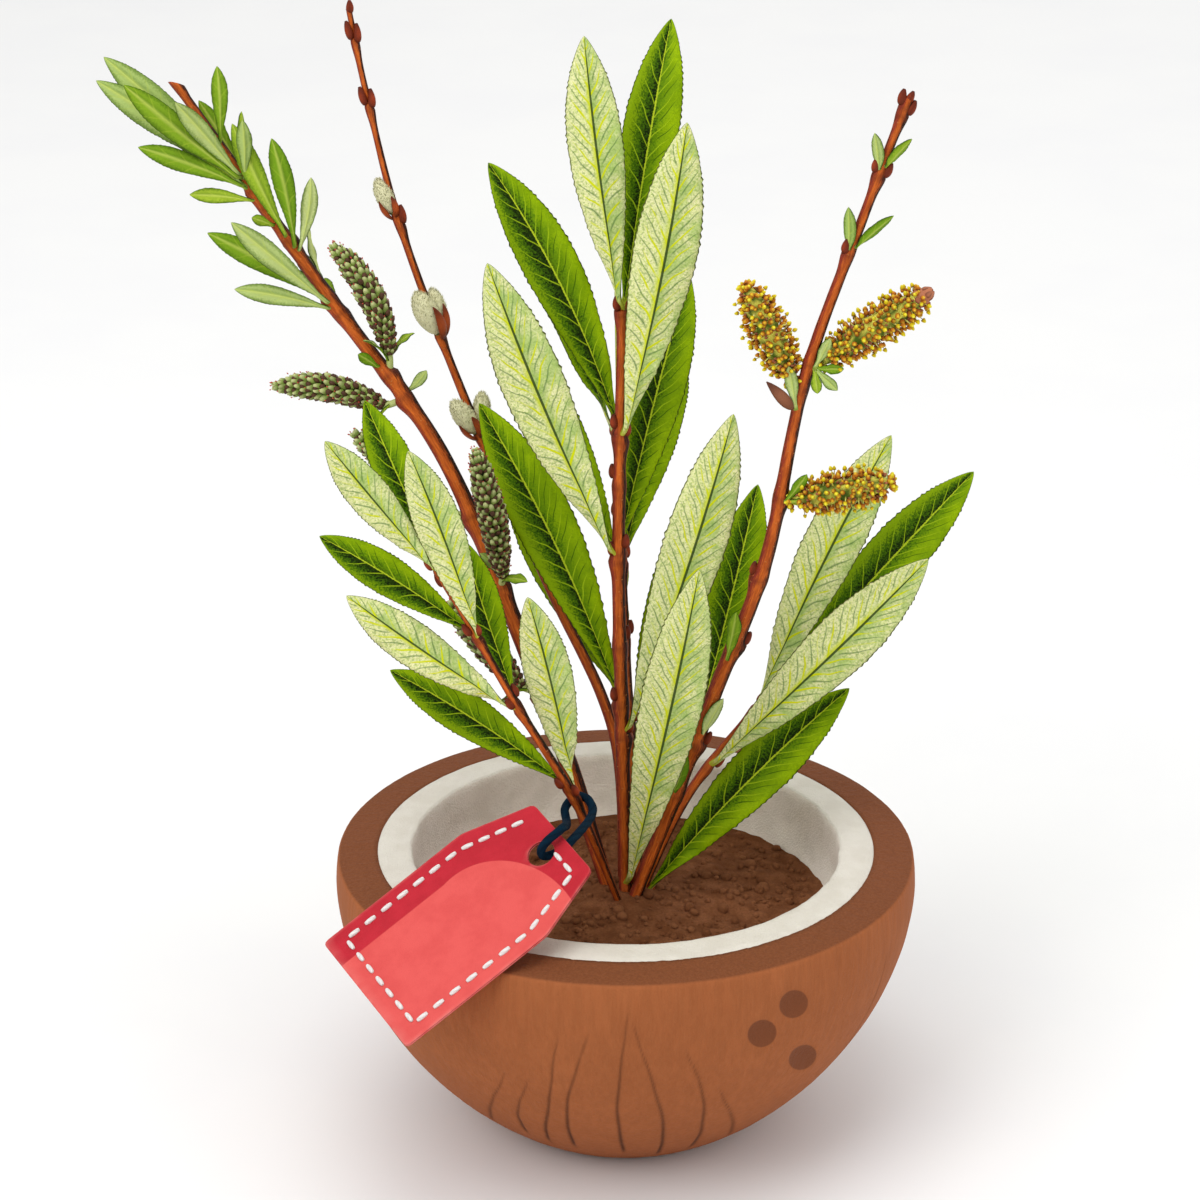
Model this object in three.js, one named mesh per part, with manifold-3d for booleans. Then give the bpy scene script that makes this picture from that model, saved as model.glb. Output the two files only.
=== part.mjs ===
// Purple willow in a half coconut shell: leafy shoots, catkin stems, soil, bowl and a blank tag.
// Millimetres, +Z up, -Y to the viewer. The origin is the centre of the bowl's flat underside.
import * as THREE from 'three';
import { mergeVertices } from 'three/addons/utils/BufferGeometryUtils.js';
import Module from 'manifold-3d';

const wasm = await Module();
wasm.setup();

const { sin, cos, pow, min, max, PI } = Math;
const deg = PI / 180;
const clearance = 0.3;

// Bowl: half a coconut, its husk outside and a ring of white flesh inside.
const bowl = {
  radius: 75.5,
  widest: 68,
  depth: 77,
  roundness: 1.77,
  rimRadius: 75,
  rimHeight: 74.7,
  fleshRadius: 64.5,
  fleshRimDrop: 0.5,
  mouthRadius: 55.5,
  mouthHeight: 76.4,
  huskBottom: 10,
  fleshBottom: 19,
  segments: 48,
};
// The three round eyes of the nut: bearing to the right of the front, height and size.
const eyes = { radius: 3.8, depth: 1.3, places: [[33.5, 63], [27, 56.5], [40, 42.5]] };

const soil = { edge: 58.6, middle: 61, plateau: 12, lump: 0.7, segments: 40 };
const crown = { radius: 9.5, height: 4.5 };

// Label tied to the left shoot. It lies on the rim and slopes down and out over it.
const label = {
  length: 63,
  width: 43,
  endWidth: 28.5,
  shoulder: 19,
  thickness: 1,
  hole: 3.6,
  holeInset: 6.8,
  bearing: 38,
  slope: 35,
  turn: 24,
  upSlope: 11.7,
};
const tie = { radius: 1.1, shootPlace: 42, sides: 6, steps: 36 };

// Stems: points on the line of each one, its radius at the foot and at the tip.
const stems = {
  left: { line: [[-5, 2, 58], [-15, 8, 96], [-29, 16, 133], [-48, 27, 176], [-76, 39, 213], [-115, 56, 265]],
    foot: 3, tip: 1.7 },
  slim: { line: [[0, 6, 58], [-3, 17, 100], [-20, 27, 138], [-38.5, 35, 179], [-57, 42, 229], [-66, 46, 266],
    [-70, 48, 287]], foot: 2, tip: 0.9 },
  middle: { line: [[0, 0, 58], [-1, 1, 111], [-2, 2, 156], [-1, 4, 222]], foot: 2.1, tip: 1.5 },
  right: { line: [[3, -3.5, 58], [12.5, -3, 92], [24, -7, 127], [35, -12, 162], [43.5, -19, 213],
    [56, -25, 255], [66, -28, 286]], foot: 2.7, tip: 1.2 },
  rightShoot: { line: [[5, 2, 58], [17, 6, 89], [39, 14, 115]], foot: 1.7, tip: 1.2 },
  leftShoot: { line: [[-2.5, -4, 58], [-13, -17, 97], [-27, -24, 126], [-47, -30, 167]], foot: 1.6, tip: 1 },
  backShoot: { line: [[4, 6, 58], [1, 20, 100], [-1, 36, 140], [-2, 50, 172]], foot: 1.8, tip: 1 },
};
const limbSides = 8;
const limbStep = 9;
const nodeSwelling = 0.16;

// A leaf row is: place along the stem, turn round it from the front, splay off it, length, twist and arch.
const middleLeaves = [
  [164, 294, 9, 72, 66, -6], [163, 157, 22, 74, 20, 10], [130, 50, 12, 88, -50, -8],
  [132, 239, 32, 75, -52, 22], [100, 151, 30, 73, 26, 8], [98, 285, 22, 88, 84, -8],
  [58, 234, 30, 85, -48, 16], [49, 78, 18, 95, -84, -6], [11, 34, 19, 98, -42, -4],
  [118, 184, 27, 62, 86, 8], [74, 176, 32, 66, -86, 8],
];
const rightShootLeaves = [
  [62, 282, 17, 80, 64, -9], [67, 149, 11, 80, 16, 8], [42, 9, 19, 84, -22, -6], [11, 94, 27, 69, 72, 14],
];
const leftShootLeaves = [
  [121, 289, 9, 47, 84, -4], [115, 181, 30, 51, 10, 10], [99, 81, 9, 57, -74, -5],
  [100, 246, 35, 46, -46, 12], [78, 171, 34, 43, 18, 10], [76, 260, 26, 54, 120, -8],
  [48, 238, 41, 54, -36, 18], [44, 128, 13, 60, -124, -6],
];
const backShootLeaves = [
  [120, 296, 25, 68, -70, 8], [119, 50, 16, 75, 60, 8], [89, 258, 25, 66, -76, 6], [88, 120, 20, 62, 70, 8],
  [99, 186, 27, 56, 80, 10], [50, 251, 26, 70, -70, 6], [45, 114, 24, 68, 64, 6], [68, 178, 34, 50, 88, 10],
];
const rightStemLeaves = [
  [52, 184, 33, 68, -12, 14], [79, 300, 12, 16, 30, 8], [58, 60, 14, 12, -30, 8], [39, 60, 16, 11, -30, 8],
  [220, 272, 26, 10, 60, 8], [221, 92, 22, 10, -60, 8], [198, 272, 20, 12, 60, 8], [199, 92, 28, 13, -60, 8],
];
const leftStemLeaves = [
  [211, 297, 12, 50, 78, 4], [214, 310, 22, 45, 67, 6], [214, 337, 25, 40, 41, -6],
  [215, 4, 30, 28, 12, 6], [211, 288, 17, 26, 87, 8], [212, 309, 37, 30, 72, 10],
  [208, 283, 49, 17, 90, 10], [225, 88, 35, 20, -79, -10], [214, 53, 48, 18, -54, -10],
  [195, 70, 12, 33, -58, 8], [192, 58, 33, 31, -52, -14], [191, 88, 47, 20, -82, -20],
  [200, 329, 44, 7, 57, 8], [177, 302, 26, 35, 75, 8], [175, 341, 25, 35, 36, -4],
  [175, 200, 8, 18, -2, 6], [174, 297, 43, 26, 83, 10], [155, 350, 40, 8, 31, 10],
  [146, 119, 80, 8, 87, -20],
];
// A side twig row is: place, turn, splay, length, number of leaves and their length.
const leftStemTwigs = [[205, 178, 18, 14, 5, 21], [172, 186, 18, 12, 4, 19]];
// A catkin row is: place, turn, splay, length and arch.
const seedCatkins = [[152, 74, 12, 32, -46], [145, 275, 44, 29, 28], [110, 268, 28, 32, 0],
  [90, 26, 28, 40, -22], [60, 286, 20, 29, 0]];
const pollenCatkins = [[159, 255, 39, 27, 0], [166, 101, 43, 32, 0], [128, 85, 67, 26, 0]];
const silverCatkins = [[192, 277, 10, 11, 0], [159, 347, 16, 13, 0], [159, 139, 11, 11, 0],
  [131, 322, 17, 11, 0], [132, 113, 25, 9, 0]];
// A bud row is: place and turn.
const slimBuds = [[239, 272], [236, 92], [221, 270], [219, 95], [205, 84], [182, 260]];
const rightBuds = [[237, 280], [235, 90], [222, 260], [201, 100], [104, 265], [84, 95], [66, 250]];

const blade = { thickness: 0.0125, thinnest: 0.35, fold: 0.1, stalk: 0.05, rollBy: 0.25 };
const grown = { widthBase: 4.4, widthShare: 0.137, steps: 9 };
const young = { widthBase: 2, widthShare: 0.11, steps: 5, below: 30 };
const bract = { length: 10, splay: 46, arch: 60, count: 2 };
const seedCatkin = { radius: 3.1, sides: 8, rings: 10, bump: 0.1, stalk: 5 };
const pollenCatkin = { radius: 4.9, sides: 8, rings: 9, bump: 0.13, stalk: 2 };
const silverCatkin = { share: 0.27, sides: 8, rings: 6, bump: 0, stalk: 0.6 };
const bud = { length: 5, radius: 1.15, sides: 5, rings: 4, splay: 14, sink: 0.75 };

const finish = {
  bark: [0x9c4a18, 0.55],
  leaf: [0x7fa43a, 0.5],
  husk: [0xa4603a, 0.7],
  flesh: [0xe3ded2, 0.55],
  soil: [0x5f3a20, 0.95],
  card: [0xea5f5a, 0.6],
  cord: [0x052d46, 0.6],
};

// Seeded numbers from 0 to 1, the same on every run.
function seededNumbers(seed) {
  let state = seed;
  return () => {
    state = (state * 1664525 + 1013904223) % 4294967296;
    return state / 4294967296;
  };
}

const vec = (x, y, z) => new THREE.Vector3(x, y, z);

// Closed skin over rings of points, with a point at each end.
function loft(start, rings, end) {
  const count = rings[0].length;
  const points = [start, ...rings.flat(), end];
  const index = [];
  const last = points.length - 1;
  for (let i = 0; i < count; i++) {
    const j = (i + 1) % count;
    index.push(0, 1 + j, 1 + i);
    const top = 1 + (rings.length - 1) * count;
    index.push(last, top + i, top + j);
  }
  for (let r = 0; r + 1 < rings.length; r++) {
    for (let i = 0; i < count; i++) {
      const j = (i + 1) % count;
      const a = 1 + r * count;
      const b = a + count;
      index.push(a + i, a + j, b + j, a + i, b + j, b + i);
    }
  }
  const geometry = new THREE.BufferGeometry().setFromPoints(points);
  geometry.setIndex(index);
  return geometry;
}

// Solid for joining and cutting. A skin wound the other way is turned right side out.
function solid(geometry) {
  const bare = geometry.clone();
  bare.deleteAttribute('normal');
  bare.deleteAttribute('uv');
  const merged = mergeVertices(bare, 1e-4);
  const places = merged.attributes.position.array;
  const faces = Uint32Array.from(merged.index.array);
  let volume = 0;
  for (let i = 0; i < faces.length; i += 3) {
    const [a, b, c] = [0, 1, 2].map((k) => vec().fromArray(places, 3 * faces[i + k]));
    volume += a.dot(b.cross(c));
  }
  if (volume < 0) {
    for (let i = 0; i < faces.length; i += 3) {
      [faces[i], faces[i + 1]] = [faces[i + 1], faces[i]];
    }
  }
  const mesh = new wasm.Mesh({ numProp: 3, vertProperties: Float32Array.from(places), triVerts: faces });
  return new wasm.Manifold(mesh);
}

const join = (pieces) => pieces.reduce((whole, piece) => whole.add(piece));

function geometryOf(manifold) {
  const { vertProperties, triVerts } = manifold.getMesh();
  const geometry = new THREE.BufferGeometry();
  geometry.setAttribute('position', new THREE.BufferAttribute(vertProperties, 3));
  geometry.setIndex(new THREE.BufferAttribute(triVerts, 1));
  return geometry;
}

function part(name, manifold, [color, roughness]) {
  const geometry = geometryOf(manifold);
  geometry.computeVertexNormals();
  const material = new THREE.MeshStandardMaterial({ color, roughness, metalness: 0, flatShading: true });
  const mesh = new THREE.Mesh(geometry, material);
  mesh.name = name;
  return mesh;
}

// A line through a few points, measured in millimetres from its foot.
class Line {
  constructor(points) {
    const curve = new THREE.CatmullRomCurve3(points, false, 'catmullrom', 0.5);
    this.points = curve.getPoints(32 * (points.length - 1));
    this.lengths = [0];
    for (let i = 1; i < this.points.length; i++) {
      this.lengths.push(this.lengths[i - 1] + this.points[i].distanceTo(this.points[i - 1]));
    }
    this.length = this.lengths.at(-1);
  }

  at(place) {
    const s = min(max(place, 0), this.length);
    let i = this.lengths.findIndex((length) => length >= s);
    i = max(i, 1);
    const t = (s - this.lengths[i - 1]) / (this.lengths[i] - this.lengths[i - 1]);
    return this.points[i - 1].clone().lerp(this.points[i], t);
  }

  // Direction of the line, and the directions to its front and to its right.
  frame(place) {
    const along = this.at(place + 2).sub(this.at(place - 2)).normalize();
    const front = vec(0, -1, 0).addScaledVector(along, along.y).normalize();
    return { along, front, right: along.clone().cross(front) };
  }

  // Direction away from the line at a turn from its front.
  away(place, turn) {
    const { front, right } = this.frame(place);
    return front.multiplyScalar(cos(turn * deg)).addScaledVector(right, sin(turn * deg));
  }
}

const lineOf = (stem) => new Line(stem.line.map((point) => vec(...point)));

function radiusAt(stem, line, place, nodes) {
  const taper = stem.foot + (stem.tip - stem.foot) * (place / line.length);
  const swellingAt = (node) => nodeSwelling * Math.exp(-pow((place - node) / 3, 2));
  return taper * (1 + max(0, ...nodes.map(swellingAt)));
}

// A tapering stretch of stem with swollen nodes, cut square at both ends.
function limb(stem, line, from, to, nodes = []) {
  const steps = Math.ceil((to - from) / limbStep);
  const rings = [];
  for (let i = 0; i <= steps; i++) {
    const place = from + (to - from) * (i / steps);
    const radius = radiusAt(stem, line, place, nodes);
    const centre = line.at(place);
    rings.push(Array.from({ length: limbSides }, (_, k) => {
      const turn = (360 * k) / limbSides;
      return line.away(place, turn).multiplyScalar(radius).add(centre);
    }));
  }
  return solid(loft(line.at(from), rings, line.at(to)));
}

// Walks out from a line in one plane, bending by the arch, and gives each step's place and directions.
function reach(line, place, turn, splay, length, arch, steps, sink) {
  const { along } = line.frame(place);
  const out = line.away(place, turn);
  const across = along.clone().cross(out);
  const walk = [];
  const point = line.at(place).addScaledVector(out, sink);
  const stepLength = length / steps;
  const heading = (share) => {
    const bend = (splay + arch * (share - 0.5)) * deg;
    return [along.clone().multiplyScalar(cos(bend)).addScaledVector(out, sin(bend)), bend];
  };
  for (let i = 0; i <= steps; i++) {
    const [ahead, bend] = heading(i / steps);
    const above = along.clone().multiplyScalar(sin(bend)).addScaledVector(out, -cos(bend));
    walk.push({ point: point.clone(), ahead, above, across });
    point.addScaledVector(heading((i + 0.5) / steps)[0], stepLength);
  }
  return walk;
}

// Half the width of a willow leaf at a share of its length: narrow foot, widest past the middle, sharp tip.
const bladeShape = (share) => pow(sin(PI * pow(share, 1.25)), 0.75);

function leaf(line, [place, turn, splay, length, twist, arch], age = length < young.below ? young : grown) {
  const halfWidth = (age.widthBase + age.widthShare * length) / 2;
  const steps = age.steps;
  const walk = reach(line, place, turn, splay, length, arch, steps, 0);
  const thickness = max(blade.thickness * length, blade.thinnest);
  const rings = [];
  for (let i = 0; i < steps; i++) {
    const share = i / steps;
    const { point, above, across } = walk[i];
    const roll = twist * min(share / blade.rollBy, 1) * deg;
    const up = above.clone().multiplyScalar(cos(roll)).addScaledVector(across, -sin(roll));
    const side = across.clone().multiplyScalar(cos(roll)).addScaledVector(above, sin(roll));
    const half = max(halfWidth * bladeShape(share), thickness * 0.7);
    const edge = point.clone().addScaledVector(up, blade.fold * half);
    const thick = share < blade.stalk ? thickness : thickness * (1 - share / 2);
    rings.push([
      edge.clone().addScaledVector(side, half),
      point.clone().addScaledVector(up, thick / 2),
      edge.clone().addScaledVector(side, -half),
      point.clone().addScaledVector(up, -thick / 2),
    ]);
  }
  const root = walk[0].point.clone().addScaledVector(walk[0].ahead, -thickness);
  return solid(loft(root, rings, walk[steps].point));
}

// A plump body of rings whose points stand in and out by turns, for catkins and buds.
function plump(walk, radius, sides, bump, shape) {
  const steps = walk.length - 1;
  const rings = [];
  for (let i = 1; i < steps; i++) {
    const { point, above, across } = walk[i];
    const swell = radius * shape(i / steps);
    rings.push(Array.from({ length: sides }, (_, k) => {
      const angle = 2 * PI * ((k + (i % 2) / 2) / sides);
      const stand = swell * (1 + bump * (((k + i) % 2) * 2 - 1));
      const out = point.clone().addScaledVector(above, stand * cos(angle));
      return out.addScaledVector(across, stand * sin(angle));
    }));
  }
  return solid(loft(walk[0].point, rings, walk[steps].point));
}

const roundEnds = (share) => pow(sin(PI * share), 0.45);
const pointedTip = (share) => pow(sin(PI * pow(share, 0.7)), 0.7);

// A catkin on a short stalk, with small leaves at its foot where it has them.
function catkin(line, row, kind, radius, leaves) {
  const [place, turn, splay, length, arch] = row;
  const stalkSteps = 3;
  const stalkSplay = splay + 30;
  const stalk = reach(line, place, turn, stalkSplay, kind.stalk + 2, -20, stalkSteps, 0);
  const foot = stalk.at(-1);
  const walk = reach(line, place, turn, splay, length, arch, kind.rings, 0);
  const shift = foot.point.clone().addScaledVector(foot.ahead, -1.5).sub(walk[0].point);
  walk.forEach((step) => step.point.add(shift));
  const pieces = [plump(walk, radius, kind.sides, kind.bump, roundEnds)];
  const stalkRings = stalk.map(({ point, above, across }) => Array.from({ length: 6 }, (_, k) => {
    const angle = (2 * PI * k) / 6;
    return point.clone().addScaledVector(above, cos(angle)).addScaledVector(across, sin(angle));
  }));
  pieces.push(solid(loft(stalk[0].point, stalkRings, foot.point)));
  for (let i = 0; i < leaves; i++) {
    const bractTurn = turn + (i * 360) / leaves + 40;
    const stalkLine = new Line([stalk[0].point, foot.point]);
    pieces.push(leaf(stalkLine, [4, bractTurn, bract.splay, bract.length, 0, bract.arch]));
  }
  return join(pieces);
}

function budAt(line, place, turn, stemRadius) {
  const walk = reach(line, place, turn, bud.splay, bud.length, -bud.splay, bud.rings, stemRadius * bud.sink);
  return plump(walk, bud.radius, bud.sides, 0, pointedTip);
}

// A short side twig whose leaves go round it by the golden angle, wide at its foot and close at its tip.
function sideTwig(line, row, next) {
  const [place, turn, splay, length, count, leafLength] = row;
  const walk = reach(line, place, turn, splay, length, 0, 3, 0);
  const twig = new Line(walk.map((step) => step.point));
  const pieces = [limb({ foot: 1.1, tip: 0.6 }, twig, 0, twig.length)];
  const goldenAngle = 137.5;
  for (let i = 0; i < count; i++) {
    const share = (i + 1) / count;
    const leafTurn = turn + goldenAngle * i + 20 * (next() - 0.5);
    const size = leafLength * (0.72 + 0.28 * share) * (0.92 + 0.16 * next());
    const twist = 30 * (next() - 0.5);
    pieces.push(leaf(twig, [twig.length * share - 1, leafTurn, 44 - 34 * share, size, twist, 14]));
  }
  return join(pieces);
}

const leavesOf = (line, rows, age) => rows.map((row) => leaf(line, row, age));
const nodesOf = (...tables) => tables.flat().map((row) => row[0]);

// Half of an oval whose outline is a little fuller or slimmer than an ellipse.
function bowlSide(radius, widest, depth, lowest, steps) {
  const power = 2 / bowl.roundness;
  const side = [];
  for (let i = 0; i <= steps; i++) {
    const angle = (PI / 2) * (1 - i / steps);
    const height = widest - depth * pow(sin(angle), power);
    if (height > lowest + 0.5) {
      side.push(new THREE.Vector2(radius * pow(cos(angle), power), height));
    }
  }
  const level = pow(1 - pow((widest - lowest) / depth, bowl.roundness), 1 / bowl.roundness);
  side.unshift(new THREE.Vector2(max(radius * level, 0), lowest));
  return side;
}

const lathe = (profile, segments = bowl.segments) => {
  profile.push(profile[0].clone());
  return solid(new THREE.LatheGeometry(profile, segments));
};

function husk() {
  const outer = bowlSide(bowl.radius, bowl.widest, bowl.depth, 0, 10);
  const inner = bowlSide(bowl.fleshRadius, bowl.widest, bowl.widest - bowl.huskBottom, bowl.huskBottom, 6);
  inner[0].x = 0;
  const profile = [
    new THREE.Vector2(0, 0),
    ...outer,
    new THREE.Vector2(bowl.rimRadius, bowl.rimHeight),
    new THREE.Vector2(bowl.fleshRadius, bowl.mouthHeight - bowl.fleshRimDrop),
    ...inner.reverse(),
  ];
  let shell = lathe(profile);
  for (const [bearing, height] of eyes.places) {
    const depth = (bowl.widest - height) / bowl.depth;
    const radius = bowl.radius * pow(1 - pow(depth, bowl.roundness), 1 / bowl.roundness);
    const ball = (pow(eyes.radius, 2) + pow(eyes.depth, 2)) / (2 * eyes.depth);
    const lean = Math.atan2(bowl.radius * pow(depth, bowl.roundness - 1), radius);
    const reachOut = ball - eyes.depth;
    const pit = new THREE.SphereGeometry(ball, 20, 14);
    const out = radius + reachOut * cos(lean);
    pit.translate(out * sin(bearing * deg), -out * cos(bearing * deg), height - reachOut * sin(lean));
    shell = shell.subtract(solid(pit));
  }
  return shell;
}

function flesh() {
  const outerRadius = bowl.fleshRadius - clearance;
  const lowest = bowl.huskBottom + clearance;
  const outer = bowlSide(outerRadius, bowl.widest, bowl.widest - lowest, lowest, 6);
  outer[0].x = 0;
  const inner = bowlSide(bowl.mouthRadius, bowl.widest, bowl.widest - bowl.fleshBottom, bowl.fleshBottom, 6);
  inner[0].x = 0;
  return lathe([
    ...outer,
    new THREE.Vector2(outerRadius, bowl.mouthHeight - bowl.fleshRimDrop),
    new THREE.Vector2(bowl.mouthRadius, bowl.mouthHeight),
    ...inner.reverse(),
  ]);
}

// Soil with a low mound in the middle and lumps that die away at the wall.
function soilBody() {
  const wall = bowl.mouthRadius - clearance;
  const bottom = bowl.fleshBottom + clearance;
  const side = bowlSide(wall, bowl.widest, bowl.widest - bottom, bottom, 6);
  side[0].x = 0;
  const buried = side.filter((point) => point.y < soil.edge - 3);
  const drop = (bowl.widest - soil.edge) / (bowl.widest - bottom);
  const edgeRadius = wall * pow(1 - pow(drop, bowl.roundness), 1 / bowl.roundness);
  const top = [];
  const ringCount = 6;
  for (let i = 0; i <= ringCount; i++) {
    const radius = edgeRadius + (soil.plateau - edgeRadius) * (i / ringCount);
    top.push(new THREE.Vector2(radius, soil.edge + (soil.middle - soil.edge) * (i / ringCount)));
  }
  const profile = [...buried, ...top, new THREE.Vector2(0, soil.middle)];
  profile.push(profile[0].clone());
  const geometry = new THREE.LatheGeometry(profile, soil.segments);
  const places = geometry.attributes.position;
  for (let i = 0; i < places.count; i++) {
    const radius = Math.hypot(places.getX(i), places.getZ(i));
    const onTop = places.getY(i) > soil.edge + 0.1 && radius > soil.plateau + 1 && radius < edgeRadius - 2;
    if (onTop) {
      const angle = Math.atan2(places.getZ(i), places.getX(i));
      const wave = sin(5 * angle + radius) + sin(9 * angle - 1.7 * radius) * 0.6;
      places.setY(i, places.getY(i) + soil.lump * wave * 0.6);
    }
  }
  return upright(solid(geometry));
}

// Lathe profiles turn round the Y axis. This stands such a body up on Z.
const upright = (manifold) => manifold.rotate([90, 0, 0]);

const groundLevel = soil.middle + clearance;

function crownDome(grow) {
  const radius = crown.radius + grow;
  const top = crown.height + grow;
  const foot = groundLevel - grow;
  const side = [[0, 0], [1, 0], [0.93, 0.3], [0.74, 0.62], [0.45, 0.88]];
  const profile = side.map(([r, h]) => new THREE.Vector2(r * radius, foot + h * (top + grow)));
  profile.push(new THREE.Vector2(0, foot + top + grow));
  return upright(lathe(profile, 20));
}

function belowGround() {
  const block = new THREE.CylinderGeometry(30, 30, 20, 12).rotateX(PI / 2);
  return solid(block.translate(0, 0, groundLevel - 10));
}

const footCut = crownDome(clearance).add(belowGround());
const springing = (piece) => piece.subtract(footCut);

// The label's own directions: down its slope, across it, and up out of its face.
function labelFrame() {
  const bearing = label.bearing * deg;
  const slope = label.slope * deg;
  const down = vec(-sin(bearing) * cos(slope), -cos(bearing) * cos(slope), -sin(slope));
  const level = vec(cos(bearing), -sin(bearing), 0);
  const face = vec(-sin(bearing) * sin(slope), -cos(bearing) * sin(slope), cos(slope));
  const turned = down.clone().multiplyScalar(cos(label.turn * deg));
  const along = turned.addScaledVector(level, -sin(label.turn * deg));
  const across = face.clone().cross(along);
  const rim = vec(-sin(bearing) * bowl.rimRadius, -cos(bearing) * bowl.rimRadius, bowl.rimHeight);
  const lying = rim.addScaledVector(face, label.thickness / 2 + clearance);
  const centre = lying.addScaledVector(down, -label.upSlope);
  const hole = centre.clone().addScaledVector(along, label.holeInset - label.length / 2);
  return { along, across, face, centre, hole };
}

function labelBody() {
  const { along, across, face, centre } = labelFrame();
  const end = label.length / 2;
  const half = label.width / 2;
  const endHalf = label.endWidth / 2;
  const shoulder = label.shoulder - end;
  const outline = new THREE.Shape([
    new THREE.Vector2(end, -half),
    new THREE.Vector2(end, half),
    new THREE.Vector2(shoulder, half),
    new THREE.Vector2(-end, endHalf),
    new THREE.Vector2(-end, -endHalf),
    new THREE.Vector2(shoulder, -half),
  ]);
  const hole = new THREE.Path().absarc(label.holeInset - end, 0, label.hole, 0, 2 * PI, true);
  outline.holes.push(hole);
  const card = new THREE.ExtrudeGeometry(outline, {
    depth: label.thickness, bevelEnabled: false, curveSegments: 20,
  });
  card.translate(0, 0, -label.thickness / 2);
  card.applyMatrix4(new THREE.Matrix4().makeBasis(along, across, face).setPosition(centre));
  return solid(card);
}

// The tie goes through the label's hole, over and under its end, and round the left shoot.
function tieBody(line) {
  const { along, across, face, hole } = labelFrame();
  const shoot = line.at(tie.shootPlace);
  const { front, right } = line.frame(tie.shootPlace);
  const round = stems.leftShoot.foot + tie.radius + clearance;
  const over = label.thickness / 2 + tie.radius + clearance;
  const edge = -label.holeInset - tie.radius;
  const onHole = (x, y, z) => hole.clone().addScaledVector(along, x).addScaledVector(across, y)
    .addScaledVector(face, z);
  const onShoot = (f, r) => shoot.clone().addScaledVector(front, f).addScaledVector(right, r);
  const route = new THREE.CatmullRomCurve3([
    hole,
    onHole(-2, 0, over + 0.6),
    onHole(edge, -0.6, over + 0.4),
    onShoot(round + 3, -round - 0.4),
    onShoot(0, -round - 0.2),
    onShoot(-round - 0.2, 0),
    onShoot(0, round + 0.2),
    onShoot(round + 3, round + 0.4),
    onHole(edge, 0.6, -over - 0.4),
    onHole(-2, 0, -over - 0.6),
  ], true, 'catmullrom', 0.5);
  const ring = new THREE.Shape(Array.from({ length: tie.sides }, (_, k) => {
    const angle = (2 * PI * k) / tie.sides;
    return new THREE.Vector2(tie.radius * cos(angle), tie.radius * sin(angle));
  }));
  const cord = new THREE.ExtrudeGeometry(ring, {
    steps: tie.steps, extrudePath: route, bevelEnabled: false,
  });
  return solid(cord);
}

const left = lineOf(stems.left);
const slim = lineOf(stems.slim);
const middle = lineOf(stems.middle);
const right = lineOf(stems.right);
const rightShoot = lineOf(stems.rightShoot);
const leftShoot = lineOf(stems.leftShoot);
const backShoot = lineOf(stems.backShoot);

// The three catkin stems have a bare limb below and a mass above, from the place where it starts.
const massStart = { left: 52, slim: 118, right: 34 };

function bareLimb(stem, line, to) {
  return springing(limb(stem, line, 0, to));
}

function leafyShoot(stem, line, rows) {
  const twig = limb(stem, line, 0, line.length, nodesOf(rows));
  return springing(join([twig, ...leavesOf(line, rows)]));
}

function leftMass() {
  const next = seededNumbers(11);
  const stem = stems.left;
  const nodes = nodesOf(seedCatkins, leftStemTwigs);
  const twig = limb(stem, left, massStart.left + clearance, left.length, nodes);
  const catkins = seedCatkins.map((row) => catkin(left, row, seedCatkin, seedCatkin.radius, bract.count));
  const twigs = leftStemTwigs.map((row) => sideTwig(left, row, next));
  return join([twig, ...catkins, ...twigs, ...leavesOf(left, leftStemLeaves, young)]);
}

function slimMass() {
  const stem = stems.slim;
  const nodes = nodesOf(silverCatkins, slimBuds);
  const twig = limb(stem, slim, massStart.slim + clearance, slim.length, nodes);
  const fur = silverCatkin.share;
  const catkins = silverCatkins.map((row) => catkin(slim, row, silverCatkin, fur * row[3], 0));
  const buds = slimBuds.map(([place, turn]) => budAt(slim, place, turn, radiusAt(stem, slim, place, [])));
  return join([twig, ...catkins, ...buds]);
}

function rightMass() {
  const stem = stems.right;
  const nodes = nodesOf(pollenCatkins, rightBuds);
  const twig = limb(stem, right, massStart.right + clearance, right.length, nodes);
  const catkins = pollenCatkins.map((row) => catkin(right, row, pollenCatkin, pollenCatkin.radius, 2));
  const buds = rightBuds.map(([place, turn]) => budAt(right, place, turn, radiusAt(stem, right, place, [])));
  return join([twig, ...catkins, ...buds, ...leavesOf(right, rightStemLeaves)]);
}

const willow = new THREE.Group();
willow.add(
  part('pot_husk', upright(husk()), finish.husk),
  part('pot_flesh', upright(flesh()), finish.flesh),
  part('soil', soilBody(), finish.soil),
  part('root_crown', crownDome(0), finish.bark),
  part('left_stem', bareLimb(stems.left, left, massStart.left), finish.bark),
  part('left_catkins', leftMass(), finish.leaf),
  part('slim_stem', bareLimb(stems.slim, slim, massStart.slim), finish.bark),
  part('slim_catkins', slimMass(), finish.leaf),
  part('right_stem', bareLimb(stems.right, right, massStart.right), finish.bark),
  part('right_catkins', rightMass(), finish.leaf),
  part('middle_foliage', leafyShoot(stems.middle, middle, middleLeaves), finish.leaf),
  part('right_shoot_foliage', leafyShoot(stems.rightShoot, rightShoot, rightShootLeaves), finish.leaf),
  part('left_shoot_foliage', leafyShoot(stems.leftShoot, leftShoot, leftShootLeaves), finish.leaf),
  part('back_shoot_foliage', leafyShoot(stems.backShoot, backShoot, backShootLeaves), finish.leaf),
  part('label', labelBody(), finish.card),
  part('label_tie', tieBody(leftShoot), finish.cord),
);

export default willow;
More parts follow.
